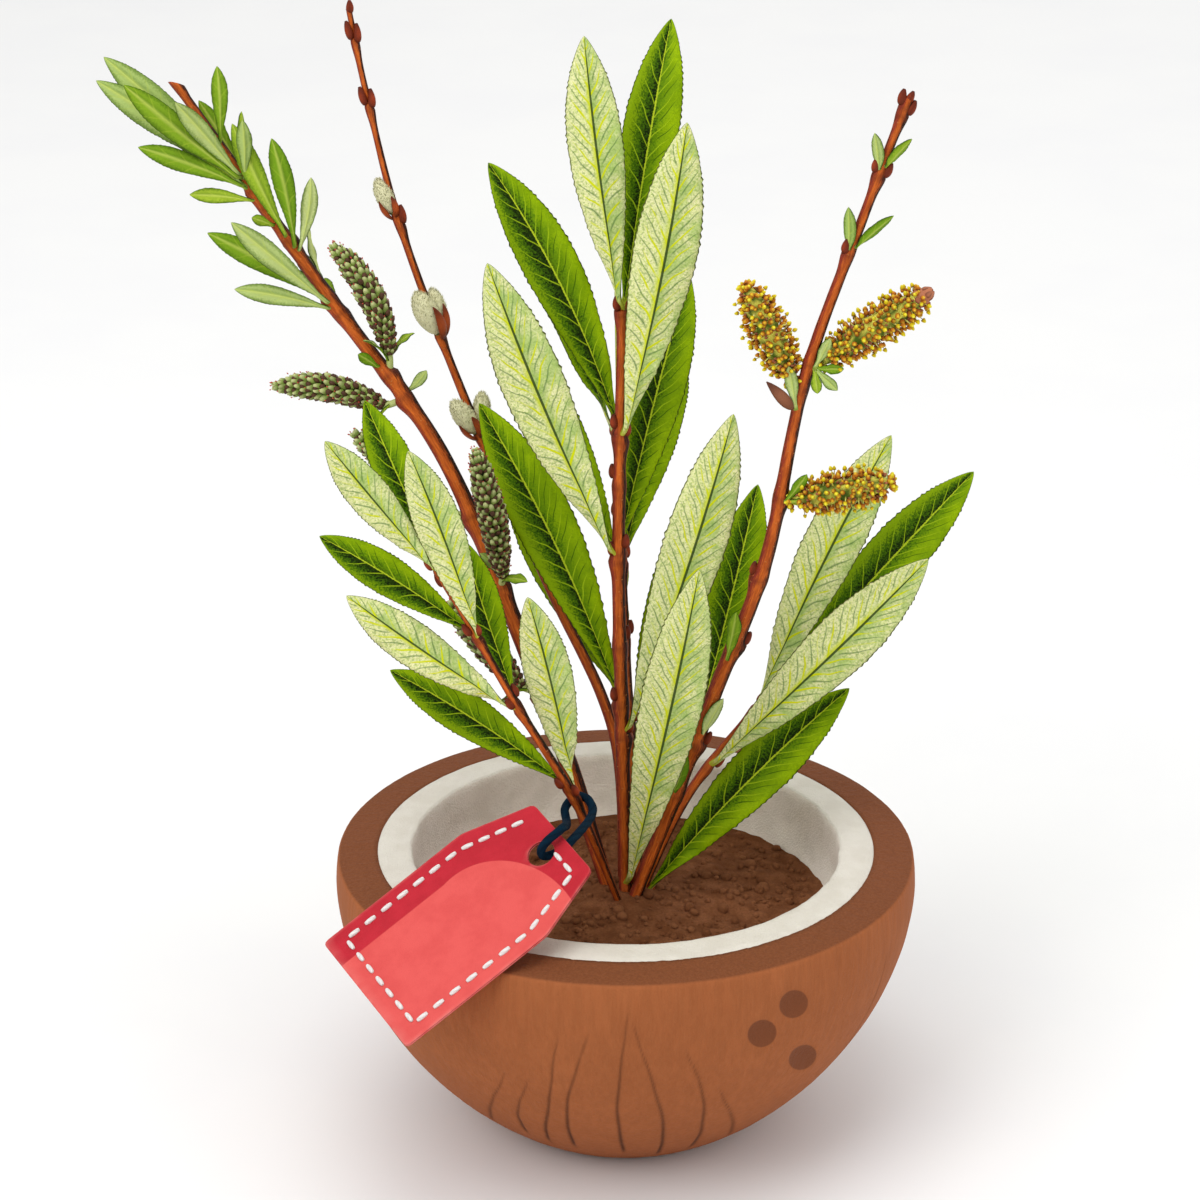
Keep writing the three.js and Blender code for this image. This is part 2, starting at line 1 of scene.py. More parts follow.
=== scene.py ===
# Potted purple willow: leafy shoots and catkin stems in a half coconut shell, with a blank tag.
# Tables and sizes are in millimetres, as in the part's source. Meshes are made in metres.
import bpy
import numpy as np
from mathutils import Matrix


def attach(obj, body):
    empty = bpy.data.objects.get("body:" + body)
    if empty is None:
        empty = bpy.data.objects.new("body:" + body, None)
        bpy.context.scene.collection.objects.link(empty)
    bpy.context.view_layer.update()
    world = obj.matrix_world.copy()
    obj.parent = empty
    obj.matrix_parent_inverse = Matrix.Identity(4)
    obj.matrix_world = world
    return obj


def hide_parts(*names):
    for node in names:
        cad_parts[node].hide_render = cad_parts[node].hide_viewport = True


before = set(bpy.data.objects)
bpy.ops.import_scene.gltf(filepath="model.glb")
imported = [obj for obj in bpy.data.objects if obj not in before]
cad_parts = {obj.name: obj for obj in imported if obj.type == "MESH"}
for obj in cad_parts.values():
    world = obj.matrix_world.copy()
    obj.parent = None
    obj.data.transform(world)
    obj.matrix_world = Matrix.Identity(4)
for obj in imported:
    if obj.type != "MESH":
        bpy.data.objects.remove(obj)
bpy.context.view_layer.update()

MM = 0.001
TAU = 2 * np.pi
# The turn in degrees from one leaf of a twig to the next.
GOLDEN = 137.5

# The plant's and the bowl's sizes, by the part's source. The stems' feet stand a little closer.

BOWL = dict(radius=75.5, widest=68, depth=77, roundness=1.77, rim_radius=75, rim_height=74.7,
            flesh_radius=64.5, mouth_radius=55.5, husk_bottom=10, flesh_bottom=19)
EYES = dict(radius=3.8, depth=1.3, look=23, places=[(33.5, 63), (27, 56.5), (40, 42.5)])
SOIL = dict(edge=58.6, middle=61)
# How far apart the solids stand.
SEAT = 0.3
LABEL = dict(length=63, width=43, end_width=28.5, shoulder=19, thickness=1, hole=3.6, hole_inset=6.8,
             bearing=38, slope=35, turn=24, up_slope=11.7)
TIE = dict(radius=1.1, shoot_place=42)

STEMS = {
    "left": dict(line=[(-3.2, 2, 58), (-15, 8, 96), (-29, 16, 133), (-48, 27, 176), (-76, 39, 213),
                       (-115, 56, 265)], foot=3, tip=1.7, bark=0.86),
    "slim": dict(line=[(-0.6, 4.4, 58), (-3, 17, 100), (-20, 27, 138), (-38.5, 35, 179), (-57, 42, 229),
                       (-66, 46, 266), (-70, 48, 287)], foot=2, tip=0.9, bark=0.82),
    "middle": dict(line=[(0, 0, 58), (-1, 1, 111), (-2, 2, 156), (-1, 4, 222)], foot=2.1, tip=1.5,
                   bark=0.95),
    "right": dict(line=[(0.9, -2.8, 58), (12.5, -3, 92), (24, -7, 127), (35, -12, 162), (43.5, -19, 213),
                        (56, -25, 255), (66, -28, 286)], foot=2.7, tip=1.2, bark=0.88),
    "right_shoot": dict(line=[(2.6, 1, 58), (17, 6, 89), (39, 14, 115)], foot=1.7, tip=1.2, bark=0.86),
    "left_shoot": dict(line=[(-0.6, -3.2, 58), (-13, -17, 97), (-27, -24, 126), (-47, -30, 167)],
                       foot=1.6, tip=1, bark=0.84),
    "back_shoot": dict(line=[(4, 6, 58), (1, 20, 100), (-1, 36, 140), (-2, 50, 172)], foot=1.8, tip=1),
}

# A leaf row is: place along the stem, turn round it from the front, splay off it, length, twist and arch.
LEAVES = {
    "middle": [
        (164, 294, 9, 72, 66, -6), (163, 157, 22, 74, 20, 10), (130, 50, 12, 88, -50, -8),
        (132, 239, 32, 75, -52, 22), (100, 151, 30, 73, 26, 8), (98, 285, 22, 88, 84, -8),
        (58, 234, 30, 85, -48, 16), (49, 78, 18, 95, -84, -6), (6, 34, 19, 107, -42, -4),
        (118, 184, 27, 62, 86, 8), (74, 176, 32, 66, -86, 8)],
    "right_shoot": [
        (62, 282, 17, 80, 64, -9), (67, 149, 11, 80, 16, 8), (42, 9, 19, 84, -22, -6),
        (3, 90, 20, 78, 72, 10)],
    "left_shoot": [
        (121, 289, 9, 47, 84, -4), (115, 181, 30, 51, 10, 10), (99, 81, 9, 57, -74, -5),
        (100, 246, 35, 46, -46, 12), (78, 171, 34, 43, 18, 10), (76, 260, 26, 54, 120, -8),
        (48, 238, 41, 54, -36, 18), (44, 128, 13, 60, -124, -6)],
    "back_shoot": [
        (120, 296, 25, 68, -70, 8), (119, 50, 16, 75, 60, 8), (89, 258, 25, 66, -76, 6),
        (88, 120, 20, 62, 70, 8), (99, 186, 27, 56, 80, 10), (50, 251, 26, 70, -70, 6),
        (45, 114, 24, 68, 64, 6), (68, 178, 34, 50, 88, 10)],
    "right": [
        (52, 184, 33, 68, -12, 14), (79, 300, 12, 16, 30, 8), (56, 72, 7, 13, -56, 8),
        (37, 286, 5, 13.5, 56, 8), (220, 272, 26, 10, 60, 8), (221, 92, 22, 10, -60, 8),
        (198, 272, 20, 12, 60, 8), (199, 92, 28, 13, -60, 8)],
    "left": [
        (211, 297, 12, 50, 78, 4), (214, 310, 22, 45, 67, 6), (214, 337, 25, 40, 41, -6),
        (215, 4, 30, 28, 12, 6), (211, 288, 17, 26, 87, 8), (212, 309, 37, 30, 72, 10),
        (208, 283, 49, 17, 90, 10), (225, 88, 35, 20, -79, -10), (214, 53, 48, 18, -54, -10),
        (195, 70, 12, 33, -58, 8), (192, 58, 33, 31, -52, -14), (191, 88, 47, 20, -82, -20),
        (200, 329, 44, 7, 57, 8), (177, 302, 26, 35, 75, 8), (175, 341, 25, 35, 36, -4),
        (175, 200, 8, 18, -2, 6), (174, 297, 43, 26, 83, 10), (155, 350, 40, 8, 31, 10),
        (146, 119, 80, 8, 87, -20)],
}
# A side twig row is: place, turn, splay, length, number of leaves and their length.
LEFT_TWIGS = [(205, 178, 18, 14, 5, 21), (172, 186, 18, 12, 4, 19)]
# A catkin row is: place, turn, splay, length and arch.
SEED_CATKINS = [(152, 74, 12, 32, -46), (145, 275, 44, 29, 28), (110, 268, 28, 32, 0),
                (90, 26, 28, 40, -22), (60, 286, 20, 29, 0)]
POLLEN_CATKINS = [(159, 255, 39, 27, 0), (166, 101, 43, 32, 0), (128, 85, 67, 26, 0)]
SILVER_CATKINS = [(192, 277, 8, 9.5, 0), (159, 347, 16, 13, 0), (159, 139, 11, 11, 0),
                  (131, 322, 17, 11, 0), (132, 113, 25, 9, 0)]
SILVER_SCALES = [2, 1, 1, 2, 2]
# A bud row is: place and turn.
SLIM_BUDS = [(238, 312), (237, 50), (221, 312), (220, 50), (189, 72)]
RIGHT_BUDS = [(237, 280), (235, 90), (219, 286), (218.5, 76), (197, 300), (104, 265), (84, 95), (53, 74),
              (37, 296)]

# Leaf shapes: width at no length and its gain with length, where the leaf is widest and how wavy it is.
# Leaves shorter than below have the shape.
GROWN = dict(width_base=3.6, width_share=0.136, widest=1.43, wave=0.07)
MAX_WIDTH = 15.5
YOUNG = dict(width_base=2, width_share=0.11, widest=1.65, wave=0.16, below=30)
TINY = dict(width_base=2, width_share=0.12, widest=1.15, wave=0.04, below=14)
FOLD = 0.1
ROLL_BY = 0.25
NODE_SWELLING = 0.16
SEED_RADIUS, SEED_STALK = 3.1, 5
POLLEN_RADIUS, POLLEN_STALK = 4.9, 2
SILVER_SHARE, SILVER_STALK = 0.245, 0.6
BUD = dict(length=5, radius=1.15, sink=1.05)

# Where each run of chance numbers starts.
SEEDS = dict(twigs=11, buds=21, seed_catkins=31, pollen_catkins=41, silver_catkins=51, cracks=61, soil=71,
             middle_leaves=91, right_shoot_leaves=84, left_shoot_leaves=88, back_shoot_leaves=88,
             right_stem_leaf=92, young_leaves=91)

# Cracks down the front of the shell: bearing and height at the top and the foot, and how far they bow.
CRACKS = [(-25.7, 44.1, -43.5, 15.2, 1.5), (-20.4, 42.8, -30.1, 16.2, -1), (-13.3, 59.3, -24, 13.6, 1.5),
          (-7, 62.2, -16.1, 13.3, -1), (0.3, 68, -1, 11.4, -1.5), (0.7, 64.6, 11.4, 7.8, 1),
          (11.4, 55.4, 22, 10, 1), (19.5, 40.8, 35, 12, -1)]


# Small helps for numbers and directions

def unit(v):
    v = np.asarray(v, float)
    return v / np.linalg.norm(v, axis=-1, keepdims=True)


def step(low, high, x):
    """Smooth step from 0 at low to 1 at high."""
    t = np.clip((x - low) / (high - low), 0, 1)
    return t * t * (3 - 2 * t)


def scatter(*cells):
    """A fixed random number from 0 to 1 for each cell of whole numbers."""
    mixed = sum(c.astype(np.int64) * k for c, k in zip(cells, (73856093, 19349663, 83492791)))
    mixed = (mixed ^ (mixed >> 13)) * 1274126177 & 0x7FFFFFFF
    mixed = (mixed ^ (mixed >> 15)) * 668265263 & 0x7FFFFFFF
    return mixed / 0x7FFFFFFF


def lumps(points, size):
    """Smooth noise from -1 to 1 over points, with lumps of about this size."""
    p = np.asarray(points, float) / size
    low = np.floor(p)
    t = p - low
    t = t * t * (3 - 2 * t)
    total = 0
    for dx in (0, 1):
        for dy in (0, 1):
            for dz in (0, 1):
                share = ((t[..., 0] if dx else 1 - t[..., 0]) * (t[..., 1] if dy else 1 - t[..., 1])
                         * (t[..., 2] if dz else 1 - t[..., 2]))
                total = total + share * scatter(low[..., 0] + dx, low[..., 1] + dy, low[..., 2] + dz)
    return 2 * total - 1


def steps_round(count):
    """Angles in even steps once round."""
    return TAU * np.arange(count) / count


def triple(x, y=0.0, z=0.0):
    """Three values side by side, for places and for the values that a piece carries."""
    return np.stack(np.broadcast_arrays(x, y, z), axis=-1)


def turned(radius, angle, height):
    """Points round the upright axis. Their angle is counted from the front."""
    return triple(radius * np.sin(angle), -radius * np.cos(angle), height)


def rings_round(front, right, angle):
    """Directions in a ring round each place of a line, between its directions to two sides."""
    return front[:, None] * np.cos(angle)[:, None] + right[:, None] * np.sin(angle)[:, None]


def between(at, places, rows):
    """Rows of values, read off between the places that they belong to."""
    return np.stack([np.interp(at, places, column) for column in rows.T], axis=-1)


def chance_run(name):
    """The run of chance numbers that belongs to one group of pieces, the same each time."""
    return np.random.default_rng(SEEDS[name])


def seeded_numbers(seed):
    """The same run of numbers from 0 to 1 as the part's source makes."""
    state = seed
    while True:
        state = (state * 1664525 + 1013904223) % 4294967296
        yield state / 4294967296


class Line:
    """A line through a few points, measured in millimetres from its foot."""

    def __init__(self, points, closed=False):
        fine = 32
        p = np.array(points, float)
        if closed:
            p = np.vstack([p[-1], p, p[:2]])
        else:
            p = np.vstack([2 * p[0] - p[1], p, 2 * p[-1] - p[-2]])
        t = (np.arange(fine) / fine)[:, None]
        spans = []
        for a, b, c, d in zip(p, p[1:], p[2:], p[3:]):
            spans.append((2 * b + (c - a) * t + (2 * a - 5 * b + 4 * c - d) * t ** 2
                          + (3 * b - a - 3 * c + d) * t ** 3) / 2)
        self.points = np.vstack(spans + [p[-2]])
        gaps = np.linalg.norm(np.diff(self.points, axis=0), axis=1)
        self.lengths = np.append(0, np.cumsum(gaps))
        self.length = self.lengths[-1]

    def at(self, place):
        return between(place, self.lengths, self.points)

    def frame(self, place):
        """Direction of the line, and the directions to its front and to its right."""
        place = np.asarray(place, float)
        along = unit(self.at(place + 2) - self.at(place - 2))
        front = unit(np.array([0.0, -1, 0]) + along * along[..., 1:2])
        return along, front, np.cross(along, front)

    def away(self, place, turn):
        _, front, right = self.frame(place)
        return front * np.cos(np.radians(turn)) + right * np.sin(np.radians(turn))


def radius_at(stem, line, place, nodes):
    """Radius of a stem's bark at places along it, with its swollen nodes."""
    place = np.asarray(place, float)
    taper = stem["foot"] + (stem["tip"] - stem["foot"]) * (place / line.length)
    swelling = np.zeros_like(place)
    for node, _ in nodes:
        swelling = np.maximum(swelling, NODE_SWELLING * np.exp(-((place - node) / 3) ** 2))
    return taper * (1 + swelling) * stem.get("bark", 1)


class Walk:
    """Steps out from a line in one plane, with each step's place and directions."""

    def __init__(self, line, place, turn, splay, length, arch, steps, sink=0.0):
        along = line.frame(place)[0]
        out = line.away(place, turn)
        across = np.cross(along, out)
        share = np.arange(steps + 1) / steps
        bend = np.radians(splay + arch * (share - 0.5))[:, None]
        middle = np.radians(splay + arch * (share[:-1] + 0.5 / steps - 0.5))[:, None]
        moves = (along * np.cos(middle) + out * np.sin(middle)) * length / steps
        start = line.at(place) + out * sink
        self.share = share
        self.point = start + np.vstack([np.zeros(3), np.cumsum(moves, axis=0)])
        self.ahead = along * np.cos(bend) + out * np.sin(bend)
        self.above = along * np.sin(bend) - out * np.cos(bend)
        self.across = np.tile(across, (steps + 1, 1))

    def at(self, values, share):
        return between(share, self.share, values)

    def spots(self, share):
        """Points at shares of the way, with the directions above and across."""
        return self.at(self.point, share), self.at(self.above, share), self.at(self.across, share)


# Heaps of points and faces that become meshes

class Heap:
    """Points, faces and their values, gathered for one piece of the scene."""

    def __init__(self, **kinds):
        self.points, self.corners, self.sizes = [], [], []
        self.atlas, self.finishes, self.smooth = [], [], []
        self.kinds = kinds
        self.values = {name: [] for name in kinds}
        self.count = 0

    def add_points(self, points, **values):
        points = np.asarray(points, float).reshape(-1, 3)
        first = self.count
        self.points.append(points)
        self.count += len(points)
        for name, kind in self.kinds.items():
            width = 3 if kind == "FLOAT_VECTOR" else 1
            given = np.zeros((len(points), width))
            value = np.asarray(values.get(name, 0.0), float)
            given[:] = value if value.size == 1 else value.reshape(-1, width)
            self.values[name].append(given)
        return first

    def add_faces(self, faces, atlas=None, finish=0, smooth=True):
        faces = np.asarray(faces)
        self.corners.append(faces.reshape(-1))
        self.sizes.append(np.full(len(faces), faces.shape[1]))
        self.finishes.append(np.full(len(faces), finish))
        self.smooth.append(np.full(len(faces), smooth))
        if atlas is None:
            atlas = np.zeros((faces.size, 2))
        self.atlas.append(np.asarray(atlas, float).reshape(-1, 2))

    def mesh(self, name, atlas=False):
        mesh = bpy.data.meshes.new(name)
        points = np.vstack(self.points) * MM
        corners = np.concatenate(self.corners).astype(np.int32)
        sizes = np.concatenate(self.sizes).astype(np.int32)
        mesh.vertices.add(len(points))
        mesh.vertices.foreach_set("co", points.astype(np.float32).ravel())
        mesh.loops.add(len(corners))
        mesh.loops.foreach_set("vertex_index", corners)
        mesh.polygons.add(len(sizes))
        mesh.polygons.foreach_set("loop_start", np.append(0, np.cumsum(sizes)[:-1]).astype(np.int32))
        mesh.polygons.foreach_set("loop_total", sizes)
        mesh.polygons.foreach_set("use_smooth", np.concatenate(self.smooth).astype(bool))
        mesh.polygons.foreach_set("material_index", np.concatenate(self.finishes).astype(np.int32))
        mesh.update(calc_edges=True)
        if atlas:
            layer = mesh.uv_layers.new(name="OFBake")
            layer.uv.foreach_set("vector", np.vstack(self.atlas).astype(np.float32).ravel())
        for label, kind in self.kinds.items():
            attribute = mesh.attributes.new(label, kind, "POINT")
            field = "vector" if kind == "FLOAT_VECTOR" else "value"
            attribute.data.foreach_set(field, np.vstack(self.values[label]).astype(np.float32).ravel())
        return mesh


def ride(piece, replaced):
    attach(piece, "root")
    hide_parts(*replaced)
    return piece


def show(name, heap, finishes, replaced, atlas=False):
    """Turns a heap into a piece of the scene."""
    piece = bpy.data.objects.new(name, heap.mesh(name, atlas))
    bpy.context.scene.collection.objects.link(piece)
    for finish in finishes:
        piece.data.materials.append(finish)
    return ride(piece, replaced)


def grid_faces(rows, columns, first, wrap=False, flip=False):
    """Four-cornered faces over a grid of points whose rows follow one another."""
    i = np.arange(rows - 1)[:, None]
    j = np.arange(columns if wrap else columns - 1)[None, :]
    right = (j + 1) % columns
    a = first + i * columns + j
    b = first + i * columns + right
    faces = np.stack([a, b, b + columns, a + columns], axis=-1).reshape(-1, 4)
    return faces[:, ::-1] if flip else faces


def add_fan(heap, first, around, ring, flip=False, finish=0, **values):
    """Closes a ring of points that starts at first, with a point in its middle."""
    ends = np.arange(around)
    middle = heap.add_points(ring.mean(axis=0), **values)
    fan = np.stack([np.full(around, middle), first + (ends + 1) % around, first + ends], axis=-1)
    heap.add_faces(fan[:, ::-1] if flip else fan, finish=finish)


def add_tube(heap, centres, sides_a, sides_b, radii, around, **values):
    """A closed tube round its centres. Each ring lies on two directions, with a radius for each point."""
    rings = len(centres)
    radii = np.asarray(radii, float)
    if radii.ndim == 1:
        radii = np.tile(radii[:, None], (1, around))
    points = centres[:, None] + rings_round(sides_a, sides_b, steps_round(around)) * radii[..., None]
    first = heap.add_points(points, **values)
    heap.add_faces(grid_faces(rings, around, first, wrap=True))
    for row, flip in ((0, False), (rings - 1, True)):
        tip = {name: np.asarray(v).reshape(rings, around, -1)[row, :1] for name, v in values.items()
               if np.size(v) >= rings * around}
        add_fan(heap, first + row * around, around, points[row], flip, **tip)


# Shader helps: each one adds a node to a tree and gives its output

PAINT = 0.87


def tint(red, green, blue, paint=PAINT):
    """A colour in screen values from 0 to 255, as a shader takes it, toned down for the bright studio."""
    value = np.array([red, green, blue]) / 255
    value = np.where(value <= 0.04045, value / 12.92, ((value + 0.055) / 1.055) ** 2.4) * paint
    return (float(value[0]), float(value[1]), float(value[2]), 1.0)


class Wire:
    """A node's output. Wires are added and multiplied as numbers are, and each sum is a new node."""

    def __init__(self, socket):
        self.socket = socket
        self.tree = socket.id_data

    def __add__(self, other):
        return math("ADD", self, other)

    def __sub__(self, other):
        return math("SUBTRACT", self, other)

    def __mul__(self, other):
        return math("MULTIPLY", self, other)

    def __truediv__(self, other):
        return math("DIVIDE", self, other)

    def __pow__(self, other):
        return math("POWER", self, other)

    def outputs(self):
        """All the outputs of the node that this one comes from."""
        return [Wire(socket) for socket in self.socket.node.outputs]


def plug(socket, value):
    if isinstance(value, Wire):
        value.tree.links.new(value.socket, socket)
    else:
        socket.default_value = value


def wire(tree, kind, inputs, output=0, **settings):
    """Adds a node with its settings and inputs, and gives one of its outputs."""
    node = tree.nodes.new(kind)
    for name, value in settings.items():
        setattr(node, name, value)
    for key, value in inputs.items():
        plug(node.inputs[key], value)
    return Wire(node.outputs[output])


def tree_of(values):
    return next(value.tree for value in values if isinstance(value, Wire))


def math(operation, *values, clamp=False):
    inputs = dict(enumerate(values))
    return wire(tree_of(values), "ShaderNodeMath", inputs, operation=operation, use_clamp=clamp)


def mix(share, a, b):
    """A colour between two. A colour of three numbers is in screen values."""
    a, b = (tint(*c) if isinstance(c, tuple) and len(c) == 3 else c for c in (a, b))
    return wire(share.tree, "ShaderNodeMix", {0: share, 6: a, 7: b}, 2, data_type="RGBA")


def coats(color, *rows):
    """Lays one colour after another over the first. Each row is its share and the colour."""
    for share, coat in rows:
        color = mix(share, color, coat)
    return color


def ramp(value, low, high):
    """0 below low and 1 above high, or the other way round where low is the larger."""
    rising = low < high
    inputs = {0: value, 1: min(low, high), 2: max(low, high), 3: float(not rising), 4: float(rising)}
    return wire(value.tree, "ShaderNodeMapRange", inputs, interpolation_type="SMOOTHSTEP")


def band(value, rise, fall):
    """1 between two places and 0 outside them. Each pair is where the change starts and ends."""
    return ramp(value, *rise) * ramp(value, fall[1], fall[0])


def noise(vector, scale, detail=2.0, roughness=0.5):
    inputs = dict(Vector=vector, Scale=scale, Detail=detail, Roughness=roughness)
    return wire(vector.tree, "ShaderNodeTexNoise", inputs)


def cells(vector, scale, feature="F1"):
    """How far each place is from the middle of its cell, or from the cell's edge."""
    return wire(vector.tree, "ShaderNodeTexVoronoi", dict(Vector=vector, Scale=scale), feature=feature)


def stretch(vector, size):
    return wire(vector.tree, "ShaderNodeVectorMath", {0: vector, 1: size}, operation="MULTIPLY")


def parts_of(vector):
    return wire(vector.tree, "ShaderNodeSeparateXYZ", {0: vector}).outputs()


# Effects that several finishes share

def new_effect(name, inputs, outputs):
    """A shader node group, with what its inputs give and the sockets that take its results."""
    group = bpy.data.node_groups.new(name, "ShaderNodeTree")
    for label, value in inputs.items():
        kind = "NodeSocketVector" if isinstance(value, tuple) else "NodeSocketFloat"
        group.interface.new_socket(name=label, in_out="INPUT", socket_type=kind).default_value = value
    for label in outputs:
        group.interface.new_socket(name=label, in_out="OUTPUT", socket_type="NodeSocketFloat")
    given = group.nodes.new("NodeGroupInput").outputs
    return group, [Wire(given[label]) for label in inputs], group.nodes.new("NodeGroupOutput").inputs


def use_effect(group, **values):
    return wire(tree_of(values.values()), "ShaderNodeGroup", values, node_tree=group).outputs()


def mottle_effect():
    """Soft patches and a fine grain over a surface."""
    inputs = dict(Place=(0, 0, 0), Patch=0.2, Grain=2.0)
    group, (place, patch, grain), result = new_effect("mottle", inputs, ["Patches", "Speckle"])
    plug(result[0], ramp(noise(place, patch, 3.0, 0.6), 0.35, 0.68))
    plug(result[1], ramp(noise(place, grain, 2.0, 0.7), 0.3, 0.72))
    return group


def fibre_effect():
    """Long fine streaks: the place is squeezed along the fibres before it is given."""
    inputs = dict(Place=(0, 0, 0), Fineness=1.0)
    group, (place, fineness), result = new_effect("fibres", inputs, ["Streaks", "Threads"])
    plug(result[0], ramp(noise(place, fineness, 4.0, 0.62), 0.32, 0.7))
    plug(result[1], ramp(noise(place, fineness * 3.1, 2.0, 0.55), 0.35, 0.68))
    return group


def vein_effect():
    """Side veins of a leaf. Veins is how many have been passed, Edge runs from midrib 0 to margin 1."""
    inputs = dict(Veins=0.0, Edge=0.0, Width=0.3)
    group, (veins, edge, width), result = new_effect("leaf_veins", inputs, ["Line", "Between"])
    way = math("PINGPONG", veins, 0.5) * 2.0
    thin = width * math("SUBTRACT", 1.25, edge)
    plug(result[0], math("SUBTRACT", 1.0, way / thin, clamp=True))
    plug(result[1], math("SUBTRACT", 1.0, math("SUBTRACT", 1.0, way) / thin, clamp=True))
    return group


MOTTLE = mottle_effect()
FIBRES = fibre_effect()
VEINS = vein_effect()


def mottle(place, patch, grain):
    """Soft patches and fine speckle."""
    return use_effect(MOTTLE, Place=place, Patch=patch, Grain=grain)


# Finishes

class Finish:
    """A material: what it reads from its mesh, and the colour and fine relief that it ends with."""

    def __init__(self, name, roughness, specular):
        self.material = bpy.data.materials.new(name)
        self.material.use_nodes = True
        self.tree = self.material.node_tree
        shader = next(node for node in self.tree.nodes if node.type == "BSDF_PRINCIPLED")
        self.inputs = shader.inputs
        self.inputs["Roughness"].default_value = roughness
        self.inputs["Specular IOR Level"].default_value = specular

    def value(self, name, part="Vector"):
        return wire(self.tree, "ShaderNodeAttribute", {}, part, attribute_name=name)

    def place(self):
        """The point's place on the object, in millimetres."""
        return stretch(wire(self.tree, "ShaderNodeTexCoord", {}, "Object"), (1000, 1000, 1000))

    def paint(self, color):
        plug(self.inputs["Base Color"], color)
        return self.material

    def finish(self, color, height, depth=0.0001, strength=0.5):
        """The material with its colour and its relief, whose depth is in metres."""
        relief = dict(Height=height, Distance=depth, Strength=strength)
        plug(self.inputs["Normal"], wire(self.tree, "ShaderNodeBump", relief))
        return self.paint(color)


class LeafSide(Finish):
    """One side of a leaf, with the place across it, its veins and its spots."""

    def __init__(self, name, roughness, vein_width):
        super().__init__(name, roughness, 0.06)
        # half runs across the leaf from left to right as seen from the front. The leaf finishes paint light
        # and shade by it.
        veins, self.half, self.tone = parts_of(self.value("blade"))
        self.spot = self.place()
        self.edge = math("ABSOLUTE", self.half)
        veins = veins + (noise(self.spot, 0.13, 1.0) * 0.7 - 0.35)
        self.line, self.between = use_effect(VEINS, Veins=veins, Edge=self.edge, Width=vein_width)
        self.patches, self.speckle = mottle(self.spot, 0.16, 2.1)

    def finish_leaf(self, color, margin, stalk, height):
        """Adds the thin dark margin and the yellowish stalk."""
        grown = self.value("grown", "Fac")
        color = coats(color, (ramp(self.edge, 0.955, 0.985), margin), (ramp(grown, 0.06, 0.015), stalk))
        return self.finish(color, height)


def leaf_upper_finish():
    """Above: nearly black painted shade beside the midrib on the left half, and lime green with light veins
    on the other half, which is painted as lit. Both halves darken in painted shade towards the midrib.
    """
    leaf = LeafSide("leaf_upper_side", 0.55, 0.13)
    edge, line, speckle = leaf.edge, leaf.line, leaf.speckle
    # Painted light and shade: the left half is shade and the right half is lit. dusk grows from the midrib
    # out, so both halves darken towards the midrib.
    dusk = edge + (speckle * 0.4 - 0.2 + line * 0.08 - 0.13 + leaf.tone * 0.26)
    shade = coats((10, 24, 1),
                  (ramp(dusk, 0.16, 0.5), (64, 100, 1)),
                  (ramp(dusk, 0.44, 0.92), (142, 172, 4)))
    light = coats((18, 40, 1),
                  (ramp(dusk, -0.06, 0.2), (88, 128, 2)),
                  (ramp(dusk, 0.14, 0.66), (156, 188, 2)),
                  (leaf.patches * 0.6, (108, 144, 2)))
    groove = leaf.between * ramp(edge, 0.95, 0.6) * ramp(edge, 0.15, 0.35)
    vein = line * ramp(edge, 0.9, 0.45)
    rib = speckle * -0.025 + edge
    color = coats(shade,
                  (ramp(leaf.half, -0.02, 0.02), light),
                  (speckle * 0.34, (74, 110, 1)),
                  (math("MULTIPLY", groove, 1.2, clamp=True), (56, 92, 1)),
                  (vein * 0.9, (172, 200, 26)),
                  (ramp(rib, 0.03, 0.005), (184, 202, 40)))
    return leaf.finish_leaf(color, (58, 70, 10), (176, 180, 50), speckle * 0.5 - line)


def leaf_under_finish():
    """Pale underneath: stippled cream and green, with short bright veins and thin dark ones. Painted shade
    makes it greener on the right half and beside the midrib, with a dark line along the midrib's right
    side.
    """
    leaf = LeafSide("leaf_under_side", 0.65, 0.23)
    half, edge, line, speckle = leaf.half, leaf.edge, leaf.line, leaf.speckle
    dots = ramp(noise(leaf.spot, 1.7, 0.0), 0.56, 0.64)
    # Painted shade: the green patches grow stronger towards the right half.
    shadow = leaf.patches * (ramp(half, -0.4, 0.5) * 0.6 + 0.1)
    net = ramp(cells(leaf.spot, 0.5, "DISTANCE_TO_EDGE"), 0.09, 0.02)
    chance = ramp(noise(leaf.spot, 0.21, 1.0), 0.36, 0.52)
    bright = line * ramp(edge, 0.92, 0.55)
    color = coats((250, 246, 192),
                  (speckle, (212, 224, 136)),
                  (dots * 0.5, (132, 160, 76)),
                  (shadow, (158, 194, 92)),
                  # Painted shade: a green band beside the midrib on its right.
                  (band(half, (0.0, 0.05), (0.1, 0.45)) * 0.55, (140, 178, 70)),
                  (net * 0.16, (110, 140, 76)),
                  (math("MULTIPLY", bright, chance * 1.1 + 0.5, clamp=True), (214, 222, 10)),
                  (leaf.between * band(edge, (0.1, 0.28), (0.8, 0.98)) * 0.85, (86, 124, 62)),
                  (band(half, (-0.2, -0.05), (-0.01, 0.02)) * (chance * 0.35 + 0.45), (206, 216, 24)),
                  # Painted shade: a dark line down the midrib's right side.
                  (band(half, (-0.03, -0.005), (0.055, 0.085)) * 0.9, (30, 60, 12)))
    return leaf.finish_leaf(color, (84, 92, 34), (192, 196, 60), line + speckle * 0.4)


